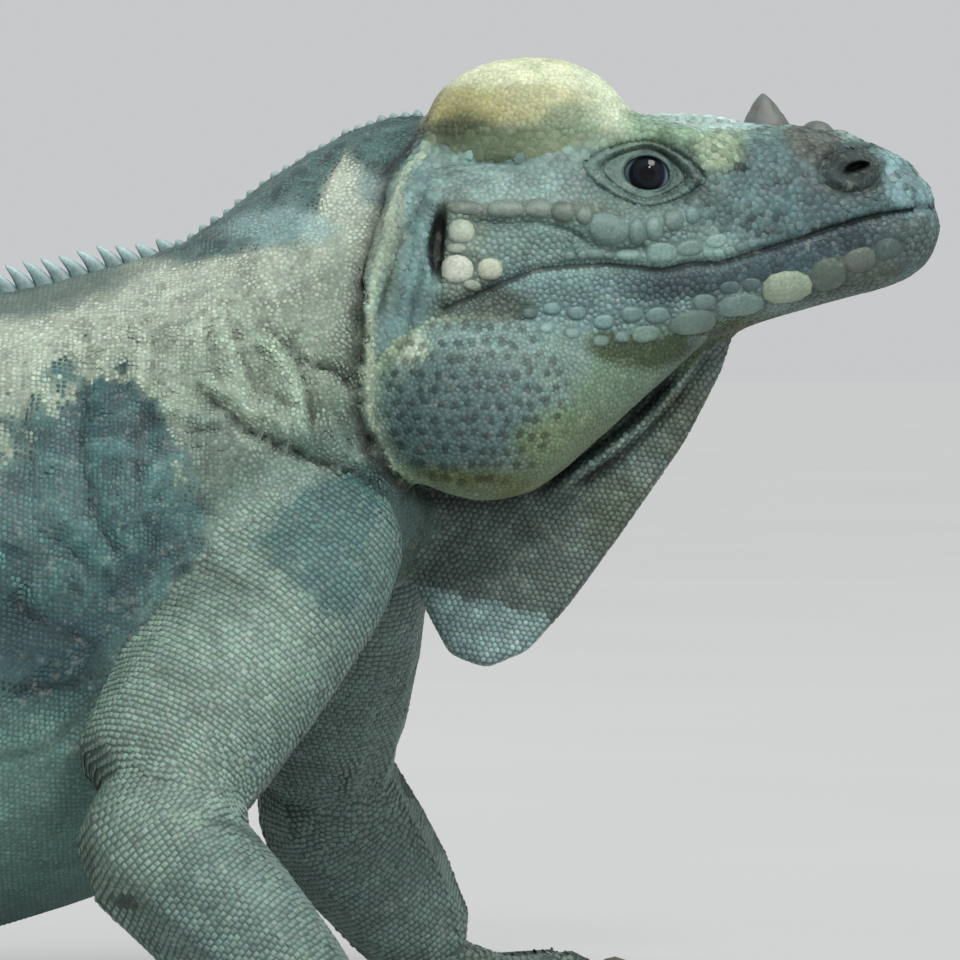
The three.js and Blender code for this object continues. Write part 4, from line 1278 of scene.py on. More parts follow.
def lay_marks(shade, points, marks, ragged):
    """Lays soft-edged ellipses of colour over what is there, with ragged borders."""
    for middle, half, colour, strength in marks:
        reach = reach_from(points, middle, half) + ragged
        shade = overlaid(shade, colour, ramp(1.25, 0.7, reach) * strength)
    return shade


def spots(points, gap):
    """How far each point is from the middle of the nearest spot of a loose lattice."""
    flat = points[:, [0, 2]] / gap
    flat[:, 0] += 0.5 * (np.floor(flat[:, 1]) % 2)
    best = np.full(len(points), 9.0)
    for step in range(9):
        cell = np.floor(flat) + (step % 3 - 1, step // 3 - 1)
        mixed = np.sin(cell @ [(12.9898, 39.346), (78.233, 11.135)]) * (43758.5453, 24634.6345)
        middle = cell + 0.5 + 0.5 * (mixed - np.floor(mixed) - 0.5)
        best = np.minimum(best, norm(flat - middle, axis=1))
    return best * gap


def body_shade(points):
    """The colour of the trunk and the tail, with painted shade in the wrinkles, in a shoulder fold and
    towards the belly.
    """
    along, left = along_line(points)
    x, z = points[:, 0], points[:, 2]
    cloud = cloudy(points, 30, 3)
    fleck = cloudy(points, 6.5, 8)
    leaned = points + 0.3 * points[:, [2, 0, 0]] * [1, 0, 0]
    streak = cloudy(leaned * [1, 1, 0.35], 2.6, 15)
    rough = (cloud - 0.5) * 10 + (fleck - 0.5) * 7
    drop = np.interp(along, *BACK_TOP) - z
    shade = overlaid(TAN, SAND, ramp(4, 34, drop + rough))
    shade = overlaid(shade, SHOULDER, ramp(42, 62, drop + rough * 0.6))
    shade = overlaid(shade, OLIVE * 1.25, ramp(110, 210, along))
    shade = lay_marks(shade, points, BODY_MARKS, (fleck - 0.5) * 0.6)
    # Painted shade: darker streaks where wrinkles would be, on the side of the neck and in the flank's
    # patch.
    painted_wrinkle_shade = ramp(0.050, 0.012, np.abs(streak - 0.47)) + 0.8 * ramp(0.56, 0.70, streak)
    shade *= (1 - 0.42 * painted_wrinkle_shade.clip(0, 1) * ramp(120, 80, along) * ramp(172, 150, z))[:, None]
    edge = np.interp(x, *FLANK_EDGE) + rough * np.interp(x, (-140, -90), (2.0, 0.7))
    edge += (streak - 0.47) * 34
    teal = ramp(1.2, -1.2, z - edge) * ramp(-52, -54, x) * ramp(330, 240, along)
    mottle = cloudy(points, 3.6, 19)
    patch = overlaid(DEEP_TEAL, TEAL, ramp(0.36, 0.52, mottle))
    patch = overlaid(patch, TEAL * 1.9, 0.5 * ramp(0.62, 0.72, mottle))
    patch *= (1 - 0.5 * painted_wrinkle_shade.clip(0, 1))[:, None]
    patch = overlaid(patch, FLANK, ramp(78, 60, z + rough))
    navy = reach_from(points, (-90, 80), (20, 12)) + (fleck - 0.5)
    patch = overlaid(patch, (0.03, 0.062, 0.075), 0.85 * ramp(1.1, 0.6, navy))
    shade = overlaid(shade, patch, teal)
    rear = ramp(240, 330, along) * ramp(20, 50, drop)
    shade = overlaid(shade, OLIVE * 0.85, rear)
    # Painted shade: darker towards the underside of the belly.
    shade = overlaid(shade, PAINTED_BELLY_SHADE, ramp(34, 12, z + rough * 0.5))
    ridge = np.minimum(np.abs(left) - 1, drop * 0.62) + (fleck - 0.5) * 3
    shade = overlaid(shade, STRIP, ramp(5.5, 3, ridge) * ramp(60, 76, along))
    nape = ramp(-1.0, 1.0, z - np.interp(x, *NUCHAL_EDGE) + (fleck - 0.5) * 3)
    speckle = ramp(0.45, 0.62, cloudy(points, 1.7, 41))
    speckled = overlaid(NUCHAL * 1.35, NUCHAL * 0.6, speckle)
    shade = overlaid(shade, speckled, nape * ramp(76, 62, along))
    shade = lay_marks(shade, points, NAPE_MARKS, (fleck - 0.5) * 0.8)
    band = 0.5 + 0.5 * np.sin(along / 11.5 + (cloud - 0.5) * 3)
    ring = overlaid(OLIVE, OLIVE * 0.62, ramp(0.45, 0.8, band))
    return overlaid(shade, ring, ramp(330, 440, along))


def limb_shade(points, labels):
    """The colour of the arms, the legs and the paws."""
    fleck = cloudy(points, 6.5, 8)
    dapple = ramp(0.45, 0.65, cloudy(points, 17, 21))
    shade = overlaid(LIMB, LIMB * 0.74, dapple)
    front = reach_from(points, (-22, 100), (20, 15)) + (fleck - 0.5) * 0.5
    shade = overlaid(shade, TEAL * 0.95, 0.85 * ramp(1.1, 0.8, front))
    elbow = line_distance(points[:, [0, 2]], [(-24, 96), (-34, 74), (-48, 54)])[0]
    low = 0.7 * ramp(-1, 5, elbow + (fleck - 0.5) * 5)
    shade = overlaid(shade, (0.15, 0.22, 0.205), low)
    rear = ramp(-150, -260, points[:, 0])
    shade = overlaid(shade, OLIVE * 1.05, rear * (1 - 0.5 * dapple))
    paw = is_part(labels, both("hand", "foot"))
    shade = overlaid(shade, PAW, paw * (1 - 0.3 * dapple))
    scab = ramp(1.2, 0.6, reach_from(points, (-67.4, 32.4), (3.2, 1.8)))
    return shade * (1 - 0.8 * scab * (points[:, 1] < 0))[:, None]


def face_shade(points, labels, ragged):
    """The colour of the head."""
    x, z = points[:, 0], points[:, 2]
    face = lay_marks(HEAD_BASE, points, MARKS, ragged)
    under = np.interp(x, *np.transpose(sorted(MOUTH))) - z + ragged * 2
    slate = ramp(-0.6, 0.4, under) * ramp(7.4, 5.4, under) * ramp(24, 34, x)
    face = overlaid(face, (0.03, 0.055, 0.07), 0.85 * slate * ramp(88, 76, x))
    face *= (0.80 + 0.38 * ramp(0.35, 0.65, cloudy(points, 3.2, 27)))[:, None]
    snout = ramp(1.1, 0.7, reach_from(points, (66, 172), (30, 16)))
    crack = ramp(0.045, 0.012, np.abs(cloudy(points, 2.1, 61) - 0.5))
    patch = 0.28 * snout * ramp(0.46, 0.70, cloudy(points, 5, 63))
    face *= (1 - (0.15 + 0.30 * snout) * crack - patch)[:, None]
    dome = lay_marks(face, points, CASQUE_MARKS, ragged)
    dome *= (0.90 + 0.16 * ramp(0.35, 0.6, cloudy(points, 2.4, 33)))[:, None]
    crown = ramp(0, 1, (z - 176) / 8) * ramp(33, 27, x) * ramp(-18, -12, x)
    return overlaid(face, dome, np.where(is_part(labels, CASQUES), 1.0, 0.7 * crown))


def cheek_shade(points, ragged):
    """The colour of the jowls, with their pale rim, dark spots and a painted highlight on the upper rear."""
    x, z = points[:, 0], points[:, 2]
    cheek = lay_marks((0.14, 0.20, 0.18), points, JOWL_MARKS, ragged)
    inside = ramp(1.05, 0.8, reach_from(points, (-1, 128), (21, 19)))
    rim = ramp(0.80, 0.98, reach_from(points, *JOWL_ROUND) + ragged * 0.3)
    rim = 0.85 * rim * ramp(8, -6, x) * ramp(150, 142, z)
    cheek = overlaid(cheek, (0.27, 0.34, 0.23), rim)
    return cheek * (1 - 0.62 * inside * ramp(1.2, 0.6, spots(points, 3.0)))[:, None]


def dewlap_shade(points, ragged):
    """The colour of the dewlap, with its pale foot and a painted shadow in the throat's fold."""
    fleck = cloudy(points, 6.5, 8)
    low = ramp(88.6, 86.4, points[:, 2] + (fleck - 0.5) * 14 + 0.25 * points[:, 0])
    hang = overlaid((0.16, 0.205, 0.185), (0.36, 0.50, 0.49), low)
    hang = lay_marks(hang, points, DEWLAP_MARKS, ragged)
    return hang * (0.82 + 0.4 * ramp(0.5, 0.7, cloudy(points, 3.0, 44)))[:, None]


def markings(points, labels):
    """The colour of the coat at each point, in linear light: its markings, with painted shade under the jowl
    and in the folds, and painted highlights on the folds' lips and the collar's edge.
    """
    x, z = points[:, 0], points[:, 2]
    ragged = (cloudy(points, 6.5, 8) - 0.5) * 0.5
    limbs = limb_shade(points, labels)
    shoulder = ramp(1.15, 0.75, reach_from(points, (-30, 98), (22, 20)))
    trunk = overlaid(body_shade(points), limbs, shoulder * (np.abs(points[:, 1]) > 14))
    shade = np.where(is_part(labels, LIMBS)[:, None], limbs, trunk)
    near_head = ramp(-24, -14, x - 0.25 * (z - 160)) * is_part(labels, HEAD)
    shade = overlaid(shade, face_shade(points, labels, ragged), near_head)
    jowl = is_part(labels, JOWLS)
    shade = np.where(jowl[:, None], cheek_shade(points, ragged), shade)
    shade = np.where(is_part(labels, ["dewlap"])[:, None], dewlap_shade(points, ragged), shade)
    # Painted shadow under the jowl's lower edge, on the neck, the chest and the dewlap.
    painted_jowl_shadow = ramp(1.24, 1.02, reach_from(points, *JOWL_ROUND)) * ~jowl * (z < 122) * (x > -24) * (x < 30)
    shade *= (1 - 0.72 * painted_jowl_shadow)[:, None]
    # Painted highlight: a pale cream line along the raised lip of the collar's edge.
    away, share = line_distance(points[:, [0, 2]], curve(COLLAR_EDGE))
    flap = bump(away, 1.4, 1.0) * ramp(0.03, 0.12, share) * ramp(0.86, 0.7, share)
    shade = overlaid(shade, (0.30, 0.335, 0.25), 0.75 * flap * (z > 112))
    return shade * WASH * (painted_fold_light(points) * (0.92 + 0.16 * grain(points, 11, 77)))[:, None]


def painted_crease_shade(points, labels):
    """Painted shade on the bare skin: in the mouth's line, the ear, the nostril's slit, the eye's opening
    and the lids' creases.
    """
    head = is_part(labels, HEAD + ["neck"]) & (points[:, 0] > -26)
    away = np.abs(line_distance(points[:, [0, 2]], MOUTH)[0])
    sides = np.abs(points[:, 1]) > 6
    a, b = eye_place(points)
    _, opening, band, outer = lid_rims(a, b)
    radius = np.hypot(a, b)
    # Painted shade in each slit, opening and crease.
    dark = np.max([
        ramp(1.0, 0.6, ear_reach(points)) * 0.93,
        ramp(1.1, 0.7, nostril_slit(points)) * 0.93,
        ramp(opening + 0.25, opening - 0.15, radius) * 0.9,
        bump(radius, band, 0.34) * 0.60,
        bump(radius, outer, 0.40) * 0.35,
    ], axis=0)
    return 1 - np.maximum(ramp(0.9, 0.3, away) * 0.75, dark * sides) * head


def painted_groove_shade(points, labels, groove):
    """Painted shade on the skin under the scales: darkest where the scales stand high, and a little darker
    on bare skin.
    """
    depth = np.where(is_part(labels, HEAD + TRUNK), 0.5, 1.0) * relief_of(points, labels).clip(0, 1)
    return np.where(bare(points, labels), 0.85, 1 - (1 - groove) * depth)


def paint(mesh, colours):
    found = np.ones((len(colours), 4), np.float32)
    found[:, :3] = np.clip(colours, 0.003, 0.95)
    layer = mesh.color_attributes.new(name="markings", type="FLOAT_COLOR", domain="POINT")
    layer.data.foreach_set("color", found.ravel())


# ---- scales

PIECES = {
    "scales_head": ["head", "lower_jaw", "ear_left", "ear_right"],
    "scales_casques": ["casque_left", "casque_right"],
    "scales_throat": THROAT,
    "scales_neck": ["neck"],
    "scales_chest": ["chest"],
    "scales_belly": ["belly"],
    "scales_hips": ["hips"],
    "scales_tail": TAIL,
    "scales_arms": ARMS,
    "scales_legs": LEGS,
}

# Each ring of a scale: its share of the reach, of the rise, and its lean back as a share of the pitch.
FINE = [(1, 0, 0), (0.0, 1.0, 0.12)]
FULL = [(1, 0, 0), (0.68, 0.74, 0.04), (0.0, 1.0, 0.10)]
TILE = [(1, 0, 0), (0.84, 0.88, 0.02), (0.0, 1.0, 0.05)]

# Each piece's form, corners, rise as a share of the pitch, the painted shade of its rims, and its cover.
PIECE_FORMS = {
    "scales_head": (TILE, 6, 0.10, 0.86, 0.98), "scales_casques": (TILE, 6, 0.06, 0.93, 1.0),
    "scales_throat": (FULL, 6, 0.13, 0.72, 0.97), "scales_neck": (FINE, 6, 0.12, 0.92, 0.99),
    "scales_chest": (FINE, 6, 0.11, 0.88, 0.99), "scales_belly": (FINE, 6, 0.12, 0.86, 0.99),
    "scales_hips": (FINE, 6, 0.13, 0.82, 0.98), "scales_tail": (TILE, 6, 0.16, 0.66, 0.95),
    "scales_arms": (TILE, 4, 0.09, 0.62, 0.93), "scales_legs": (TILE, 4, 0.10, 0.62, 0.92),
}
AXES = {
    "body": [(x, y, 72 if x > -440 else max(4, 30 + (x + 440) * 0.04)) for x, y in MIDLINE],
    "head": [(-30, 0, 158), (96, 0, 168)],
    "throat": [(-6, 0, 96), (10, 0, 128), (70, 0, 140)],
}


def unwrap(points, axis):
    """A place on a square for each point: how far along an axis it lies, and how far round it."""
    _, offset, _, share = nearest_on(points, axis)
    whole = unit(np.subtract(axis[-1], axis[0]))
    side = unit(np.cross(whole, (0, 0, 1) if abs(whole[2]) < 0.8 else (1, 0, 0)))
    turn = np.arctan2(offset @ side, offset @ np.cross(side, whole)) / (2 * math.pi) + 0.5
    return np.stack([share, turn], axis=1)


def roots_on_square(name, points):
    """The place of each scale's root on the piece's bake map."""
    if name in ("scales_arms", "scales_legs"):
        limb = name[7:10]
        found = np.zeros((len(points), 2))
        for side, sign in SIDES.items():
            joints = LIMB_JOINTS[limb, side]
            toe = np.add(joints[2], (26 if limb == "arm" else 44, 0, -6))
            here = points[:, 1] * sign > 0
            found[here] = unwrap(points[here], joints + [tuple(toe)]) * (0.49, 1) + ((sign + 1) / 4, 0)
        return found * 0.98 + 0.01
    axis = {"scales_head": "head", "scales_casques": "head", "scales_throat": "throat"}.get(name, "body")
    found = unwrap(points, AXES[axis])
    low, high = found.min(axis=0), found.max(axis=0)
    return (found - low) / np.maximum(high - low, 1e-6) * 0.98 + 0.01


def mesh_of(name, points, triangles, colours, places):
    """A mesh from arrays, with its colours of markings and painted light, and its bake map."""
    mesh = bpy.data.meshes.new(name)
    mesh.vertices.add(len(points))
    put_points(mesh, points)
    mesh.loops.add(triangles.size)
    mesh.loops.foreach_set("vertex_index", triangles.astype(np.int32).ravel())
    mesh.polygons.add(len(triangles))
    mesh.polygons.foreach_set("loop_start", np.arange(0, triangles.size, 3, dtype=np.int32))
    mesh.update(calc_edges=True)
    paint(mesh, colours)
    layer = mesh.uv_layers.new(name="OFBake")
    layer.data.foreach_set("uv", places[triangles.ravel()].astype(np.float32).ravel())
    return mesh


def pyramid(corners, rings):
    """The triangles of a scale: rings of corners, one above the other, and a tip that comes last."""
    found = []
    for k in range(corners):
        after = (k + 1) % corners
        for low in range(0, (rings - 1) * corners, corners):
            a, b = low + k, low + after
            found += [(a, b, b + corners), (a, b + corners, a + corners)]
        top = (rings - 1) * corners
        found.append((top + k, top + after, top + corners))
    return np.array(found)


def gathered(sets):
    """Joins sets of arrays, each of points, triangles, colours and places on the map, to one."""
    starts = np.cumsum([0] + [len(arrays[0]) for arrays in sets[:-1]])
    sets = [(points, faces + k, *rest) for (points, faces, *rest), k in zip(sets, starts)]
    return [np.vstack(arrays) for arrays in zip(*sets)]


def scale_arrays(seeds, lie, across, outline, rise, relief, form, rim, shade, roots):
    """Every scale of a piece at once: points, triangles, colours and places on the bake map."""
    place, normal, pitch = seeds["place"], seeds["normal"], seeds["pitch"]
    count, corners = outline.shape[:2]
    wheel = outline[:, :, :1] * lie[:, None, :] + outline[:, :, 1:] * across[:, None, :]
    flat = outline / norm(outline, axis=2).clip(1e-6)[:, :, None]
    rows, colours, places = [], [], []
    for share, high, back in form[:-1]:
        level = -np.clip(0.3 * rise, 0.015, 0.10) if high == 0 else rise * high
        middle = place + lie * (pitch * back)[:, None] + normal * level[:, None]
        rows.append(middle[:, None, :] + wheel * share)
        # Painted shade: the outer ring darker by the rim share and the relief, the inner rings a little
        # darker; the tip a little lighter, a painted highlight.
        painted_shading = 1 - (1 - rim) * relief.clip(0, 1) if high == 0 else np.full(count, 0.98)
        colours.append(np.repeat((shade * painted_shading[:, None])[:, None, :], corners, axis=1))
        places.append(roots[:, None, :] + flat * share * 0.0014)
    tip = place + lie * (pitch * form[-1][2])[:, None] + normal * rise[:, None]
    rows.append(tip[:, None, :])
    colours.append(shade[:, None, :] * 1.01)
    places.append(roots[:, None, :])
    points, colours, places = (np.concatenate(part, axis=1) for part in (rows, colours, places))
    starts = np.arange(count) * points.shape[1]
    triangles = (pyramid(corners, len(form) - 1)[None] + starts[:, None, None]).reshape(-1, 3)
    points = points.reshape(-1, 3)
    points[:, 2] = np.maximum(points[:, 2], 0.02)
    return points, triangles, colours.reshape(-1, 3), places.reshape(-1, 2)


# Each ring of a plate: its share of the reach and of the rise. The last is the tip.
PLATE_FORM = [(1.0, -0.2), (0.86, 0.62), (0.5, 0.92)]


def plate_arrays(surface, plates, dice):
    """The large scales of both sides of the head, laid on the skin."""
    # Painted shade round each plate's foot, and a faint painted highlight towards its top.
    painted_shading = np.r_[np.repeat((0.60, 0.95, 1.02), PLATE_CORNERS), 1.05]
    made = []
    for side, plate in plates:
        rise = plate[4] * 0.6
        outline = [plate_ring(plate, share, -0.08) for share, _ in PLATE_FORM] + [np.array([plate[0]])]
        found, normal, _ = cast_side(surface, np.vstack(outline), side)
        tall = np.r_[np.repeat([high for _, high in PLATE_FORM], PLATE_CORNERS) * rise, rise]
        middle = unit(normal.mean(axis=0))
        found = found + unit(normal * 0.5 + middle * 0.5) * tall[:, None]
        shade = markings(found[-1:], np.array([FLESH.index("head")]))[0] * (0.84 + 0.2 * dice.random())
        for spot, tint in PLATE_TINTS:
            if math.dist(spot, plate[0]) < 0.5:
                shade = np.array(tint)
        faces = pyramid(PLATE_CORNERS, len(PLATE_FORM))
        if side > 0:
            faces = faces[:, ::-1]
        root = unwrap(found[-1:], AXES["head"])[0] * 0.98 + 0.01
        flat = (found[:, [0, 2]] - found[-1, [0, 2]]) * 0.0004
        made.append((found, faces, shade * painted_shading[:, None], root + flat))
    return gathered(made)


def coat_pieces(surface, settings):
    """The arrays of each piece of the coat."""
    seeds = grow_seeds(surface, settings)
    plates = seeds.pop("plates")
    dice = np.random.default_rng(settings.seed + 1)
    lie = lie_of(seeds["place"], seeds["normal"], seeds["label"])
    shade = markings(seeds["place"], seeds["label"])
    relief = relief_of(seeds["place"], seeds["label"])
    tint = 1 + 0.10 * dice.standard_normal(len(shade)).clip(-2, 2) * np.sqrt(relief.clip(0, 1))
    warm = 1 + 0.03 * dice.standard_normal((len(shade), 3)).clip(-2, 2)
    shade = shade * tint[:, None] * warm
    outlines = {corners: cells(seeds, lie, corners) for corners in (4, 6)}
    del seeds["ghosts"]
    made = {}
    for name, parts in PIECES.items():
        here = np.flatnonzero(is_part(seeds["label"], parts))
        form, corners, tall, rim, cover = PIECE_FORMS[name]
        outline, across = outlines[corners]
        chosen = {key: values[here] for key, values in seeds.items()}
        chance = 0.85 + 0.3 * dice.random(len(here))
        rise = chosen["pitch"] * tall * settings.rise * chance * relief[here]
        if name == "scales_tail":
            along = along_line(chosen["place"])[0]
            rise *= 1 + 0.9 * (np.round(along / 2.6) % 5 == 0) * ramp(440, 500, along)
        roots = roots_on_square(name, chosen["place"])
        outline = outline[here] * cover * settings.cover
        made[name] = scale_arrays(
            chosen, lie[here], across[here], outline, rise, relief[here], form, rim, shade[here], roots
        )
        if name == "scales_head":
            made[name] = gathered([made[name], plate_arrays(surface, plates, dice)])
    return made


# ---- crest, horns, claws and eyes


def spun(profile, steps):
    """The vertices and triangles of a closed form, turned from a profile of radius and height."""
    work = bmesh.new()
    row = [work.verts.new((radius, 0, height)) for radius, height in profile]
    edges = [work.edges.new(pair) for pair in zip(row, row[1:])]
    bmesh.ops.spin(
        work, geom=row + edges, cent=(0, 0, 0), axis=(0, 0, 1), angle=2 * math.pi, steps=steps,
        use_merge=True, use_duplicate=False,
    )
    bmesh.ops.remove_doubles(work, verts=work.verts, dist=1e-4)
    bmesh.ops.holes_fill(work, edges=[edge for edge in work.edges if edge.is_boundary], sides=0)
    bmesh.ops.recalc_face_normals(work, faces=work.faces)
    bmesh.ops.triangulate(work, faces=work.faces)
    work.verts.index_update()
    points = np.array([vertex.co[:] for vertex in work.verts])
    triangles = np.array([[vertex.index for vertex in face.verts] for face in work.faces])
    work.free()
    return points, triangles


THORN = [
    (0, 0), (0.5, 0), (0.49, 0.16), (0.45, 0.36), (0.39, 0.56), (0.30, 0.75), (0.17, 0.91), (0, 1),
]
CREST_ALONG = (64, 72, 90, 120, 170, 250, 340, 430)
CREST_HEIGHTS = (2.4, 4.4, 5.2, 5.8, 6.6, 6.8, 5.4, 4.0)
# The foot and the tip of a thorn, on the nape and on the back.
THORN_COLOURS = [((0.08, 0.14, 0.135), (0.26, 0.37, 0.36)), ((0.13, 0.21, 0.21), (0.33, 0.47, 0.48))]


def crest_row():
    """Each thorn of the crest: its distance along, height, length at the foot, thickness and lean."""
    row = []
    along = -7.0
    while along < 905:
        if along < 62:
            height = 1.05 + 0.2 * math.sin(along * 1.7)
            step, foot, thick, lean = 2.4, 3.3, 2.4, 0.05
        elif along < 430:
            height = float(np.interp(along, CREST_ALONG, CREST_HEIGHTS))
            step = float(np.interp(along, (64, 120, 250, 430), (3.5, 3.8, 4.8, 5.2)))
            foot, thick, lean = step * 1.2, 1.6, 0.62
        else:
            height = float(np.interp(along, (430, 560, 740, 905), (4.0, 3.8, 2.6, 1.4)))
            step = float(np.interp(along, (430, 905), (7.0, 8.6)))
            foot, thick, lean = step * 0.8, 1.8, 0.8
        row.append((along, height * (0.82 + 0.28 * math.sin(along * 5.3) ** 2), foot, thick, lean))
        along += step
    return row


def crest_mesh(surface, settings):
    """The whole crest, from the nape to the tail."""
    shape, triangles = spun(THORN, 8)
    high = shape[:, 2:]
    share = ramp(0.25, 0.95, high)
    made = []
    for along, height, foot, thick, lean in crest_row():
        x, y, way = midline_at(along)
        spots_round = [(x + way[0] * d, y + way[1] * d, 400) for d in (-3, 0, 3)]
        hits = [surface.tree.ray_cast(spot, (0, 0, -1))[0] for spot in spots_round]
        slope = unit(np.array(hits[2] - hits[0]))
        up = unit(np.cross(slope, np.cross((0, 0, 1), slope)))
        side = np.cross(up, slope)
        height *= settings.height
        ahead = shape[:, :1] * foot * (1 - 0.25 * high) + lean * height * high**2
        left = shape[:, 1:2] * thick * (1 - 0.3 * high)
        placed = np.array(hits[1]) + slope * ahead + side * left + up * (high * (height + 1.2) - 1.2)
        base, tip = np.array(THORN_COLOURS[along >= 62])
        fade = min(1, max(0, along - 200) / 150)
        base = base * (1 - fade) + OLIVE * 0.9 * fade
        tip = tip * (1 - fade) + OLIVE * 2.0 * fade
        root = unwrap(placed[:1], AXES["body"])[0] * 0.98 + 0.01
        made.append((placed, triangles, base * (1 - share) + tip * share, root + shape[:, :2] * 0.0028))
    return outward(mesh_of("crest", *gathered(made)))


def outward(mesh):
    """The mesh with its faces turned outwards."""
    work = bmesh.new()
    work.from_mesh(mesh)
    bmesh.ops.recalc_face_normals(work, faces=work.faces)
    work.to_mesh(mesh)
    work.free()
    return mesh


HORN_PROFILE = [
    (0, 0), (1.22, 0), (1.16, 0.16), (1.03, 0.28), (0.90, 0.40), (0.77, 0.52), (0.63, 0.64),
    (0.48, 0.76), (0.31, 0.87), (0.14, 0.96), (0, 1),
]


def horn_form(name):
    """One of the snout's horns, a cone with faint rings or a blunt knob, standing where its solid does."""
    shape, triangles = spun(HORN_PROFILE, 24)
    low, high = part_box(name)
    knob = name == "horn_front"
    half, centre = (high - low) / 2, (low + high) / 2
    top = low.z * 0.42 + high.z * 0.58 if knob else high.z
    work = bmesh.new()
    vertices = []
    for x, y, z in shape.tolist():
        if knob:
            blunt = math.sqrt(max(0.0, 1 - z * z)) * 1.3 / max(math.hypot(x, y), 1e-6)
            x, y = x * blunt, y * blunt
        turn = math.atan2(y, x)
        ring = 1 + 0.022 * math.sin(z * 34 + math.sin(turn * 3)) + 0.02 * math.sin(turn * 5)
        lean = half.x * 0.20 * (0.5 - z)
        rise = (low.z - 0.0012) * (1 - z) + top * z
        place = (centre.x + half.x * x * ring + lean, centre.y + half.y * y * ring, rise)
        vertices.append(work.verts.new(place))
    for corners in triangles.tolist():
        work.faces.new([vertices[k] for k in corners])
    bmesh.ops.recalc_face_normals(work, faces=work.faces)
    return work


def claw_form(name):
    """One claw, rounded from its solid."""
    work = copied(name)
    bmesh.ops.subdivide_edges(work, edges=work.edges, cuts=1, smooth=0.8, use_grid_fill=True)
    bmesh.ops.smooth_vert(
        work, verts=work.verts, factor=0.3, use_axis_x=True, use_axis_y=True, use_axis_z=True
    )
    for vertex in swollen(work, 0.00012).verts:
        vertex.co.z = max(vertex.co.z, 0.00002)
    return work


def eye_mesh(side, radius):
    """One eyeball, a little fuller over the iris."""
    middle = sum(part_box(f"eye_{side}"), Vector()) / 2
    middle.y = SHIFT[1] * 0.001 + SIDES[side] * EYE_AT[1] * 0.001
    work = bmesh.new()
    bmesh.ops.create_uvsphere(work, u_segments=48, v_segments=32, radius=radius)
    bmesh.ops.rotate(work, verts=work.verts, cent=(0, 0, 0), matrix=Matrix.Rotation(math.pi / 2, 3, "X"))
    for vertex in work.verts:
        across = math.hypot(vertex.co.x, vertex.co.z)
        if vertex.co.y * SIDES[side] > 0:
            vertex.co.y += SIDES[side] * 0.00012 * math.exp(-((across / 0.0024) ** 2))
    bmesh.ops.translate(work, verts=work.verts, vec=middle)
    bmesh.ops.recalc_face_normals(work, faces=work.faces)
    return finished(work, f"eye_{side}")


# ---- finishes


class Nodes:
    """A short hand for wiring a material."""

    def __init__(self, name):
        for old in [m for m in bpy.data.materials if m.name == name]:
            bpy.data.materials.remove(old)
        self.material = bpy.data.materials.new(name)
        self.material.use_nodes = True
        self.tree = self.material.node_tree
        self.shader = self.tree.nodes["Principled BSDF"]
        self.place = self.add("ShaderNodeTexCoord").outputs["Object"]

    def add(self, kind, **values):
        node = self.tree.nodes.new(kind)
        for key, value in values.items():
            if key.startswith("_"):
                node.inputs[key[1:].replace("_", " ")].default_value = value
            else:
                setattr(node, key, value)
        return node

    def link(self, out, into):
        self.tree.links.new(out, into)

    def noise(self, vector, scale, detail=3.0, roughness=0.55):
        node = self.add("ShaderNodeTexNoise", _Scale=scale, _Detail=detail, _Roughness=roughness)
        self.link(vector, node.inputs["Vector"])
        return node.outputs["Fac"]

    def spread(self, value, low, high, out_low=0.0, out_high=1.0):
        """The value, carried from one range to another."""
        ends = {"_From_Min": low, "_From_Max": high, "_To_Min": out_low, "_To_Max": out_high}
        node = self.add("ShaderNodeMapRange", **ends)
        self.link(value, node.inputs["Value"])
        return node.outputs["Result"]

    def tinted(self, colour, factor, low, high):
        """The colour times a grey that runs from low to high with the factor."""
        node = self.add("ShaderNodeMix", data_type="RGBA", blend_type="MULTIPLY")
        node.inputs["Factor"].default_value = 1.0
        self.link(colour, node.inputs["A"])
        self.link(self.spread(factor, 0.3, 0.7, low, high), node.inputs["B"])
        return node.outputs["Result"]

    def blend(self, factor, a, b):
        node = self.add("ShaderNodeMix", data_type="RGBA")
        self.link(factor, node.inputs["Factor"])
        for socket, value in (("A", a), ("B", b)):
            if isinstance(value, tuple):
                node.inputs[socket].default_value = value + (1.0,)
            else:
                self.link(value, node.inputs[socket])
        return node.outputs["Result"]

    def surface(self, colour, roughness, gloss):
        self.link(colour, self.shader.inputs["Base Color"])
        self.link(roughness, self.shader.inputs["Roughness"])
        self.shader.inputs["Specular IOR Level"].default_value = gloss

    def bumps(self, height, strength, distance):
        node = self.add("ShaderNodeBump", _Strength=strength, _Distance=distance)
        self.link(height, node.inputs["Height"])
        self.link(node.outputs["Normal"], self.shader.inputs["Normal"])


def coat_finish(name, rough, gloss, fine):
    """The finish of the skin and the scales: their markings and painted shade and highlights, with specks,
    dust and a fine grain.
    """
    nodes = Nodes(name)
    marks = nodes.add("ShaderNodeAttribute", attribute_name="markings").outputs["Color"]
    speck = nodes.noise(nodes.place, 1500.0, 2.0)
    blotch = nodes.noise(nodes.place, 210.0, 3.0)
    colour = nodes.tinted(marks, speck, 0.80, 1.20)
    colour = nodes.tinted(colour, blotch, 0.86, 1.12)
    dust = nodes.spread(nodes.noise(nodes.place, 420.0, 4.0, 0.7), 0.56, 0.74, 0.0, 0.32)
    colour = nodes.blend(dust, colour, (0.36, 0.36, 0.29))
    nodes.surface(colour, nodes.spread(speck, 0.25, 0.75, rough - 0.12, rough + 0.14), gloss)
    nodes.bumps(nodes.noise(nodes.place, fine, 3.0, 0.6), 0.35, 0.0002)
    return nodes.material


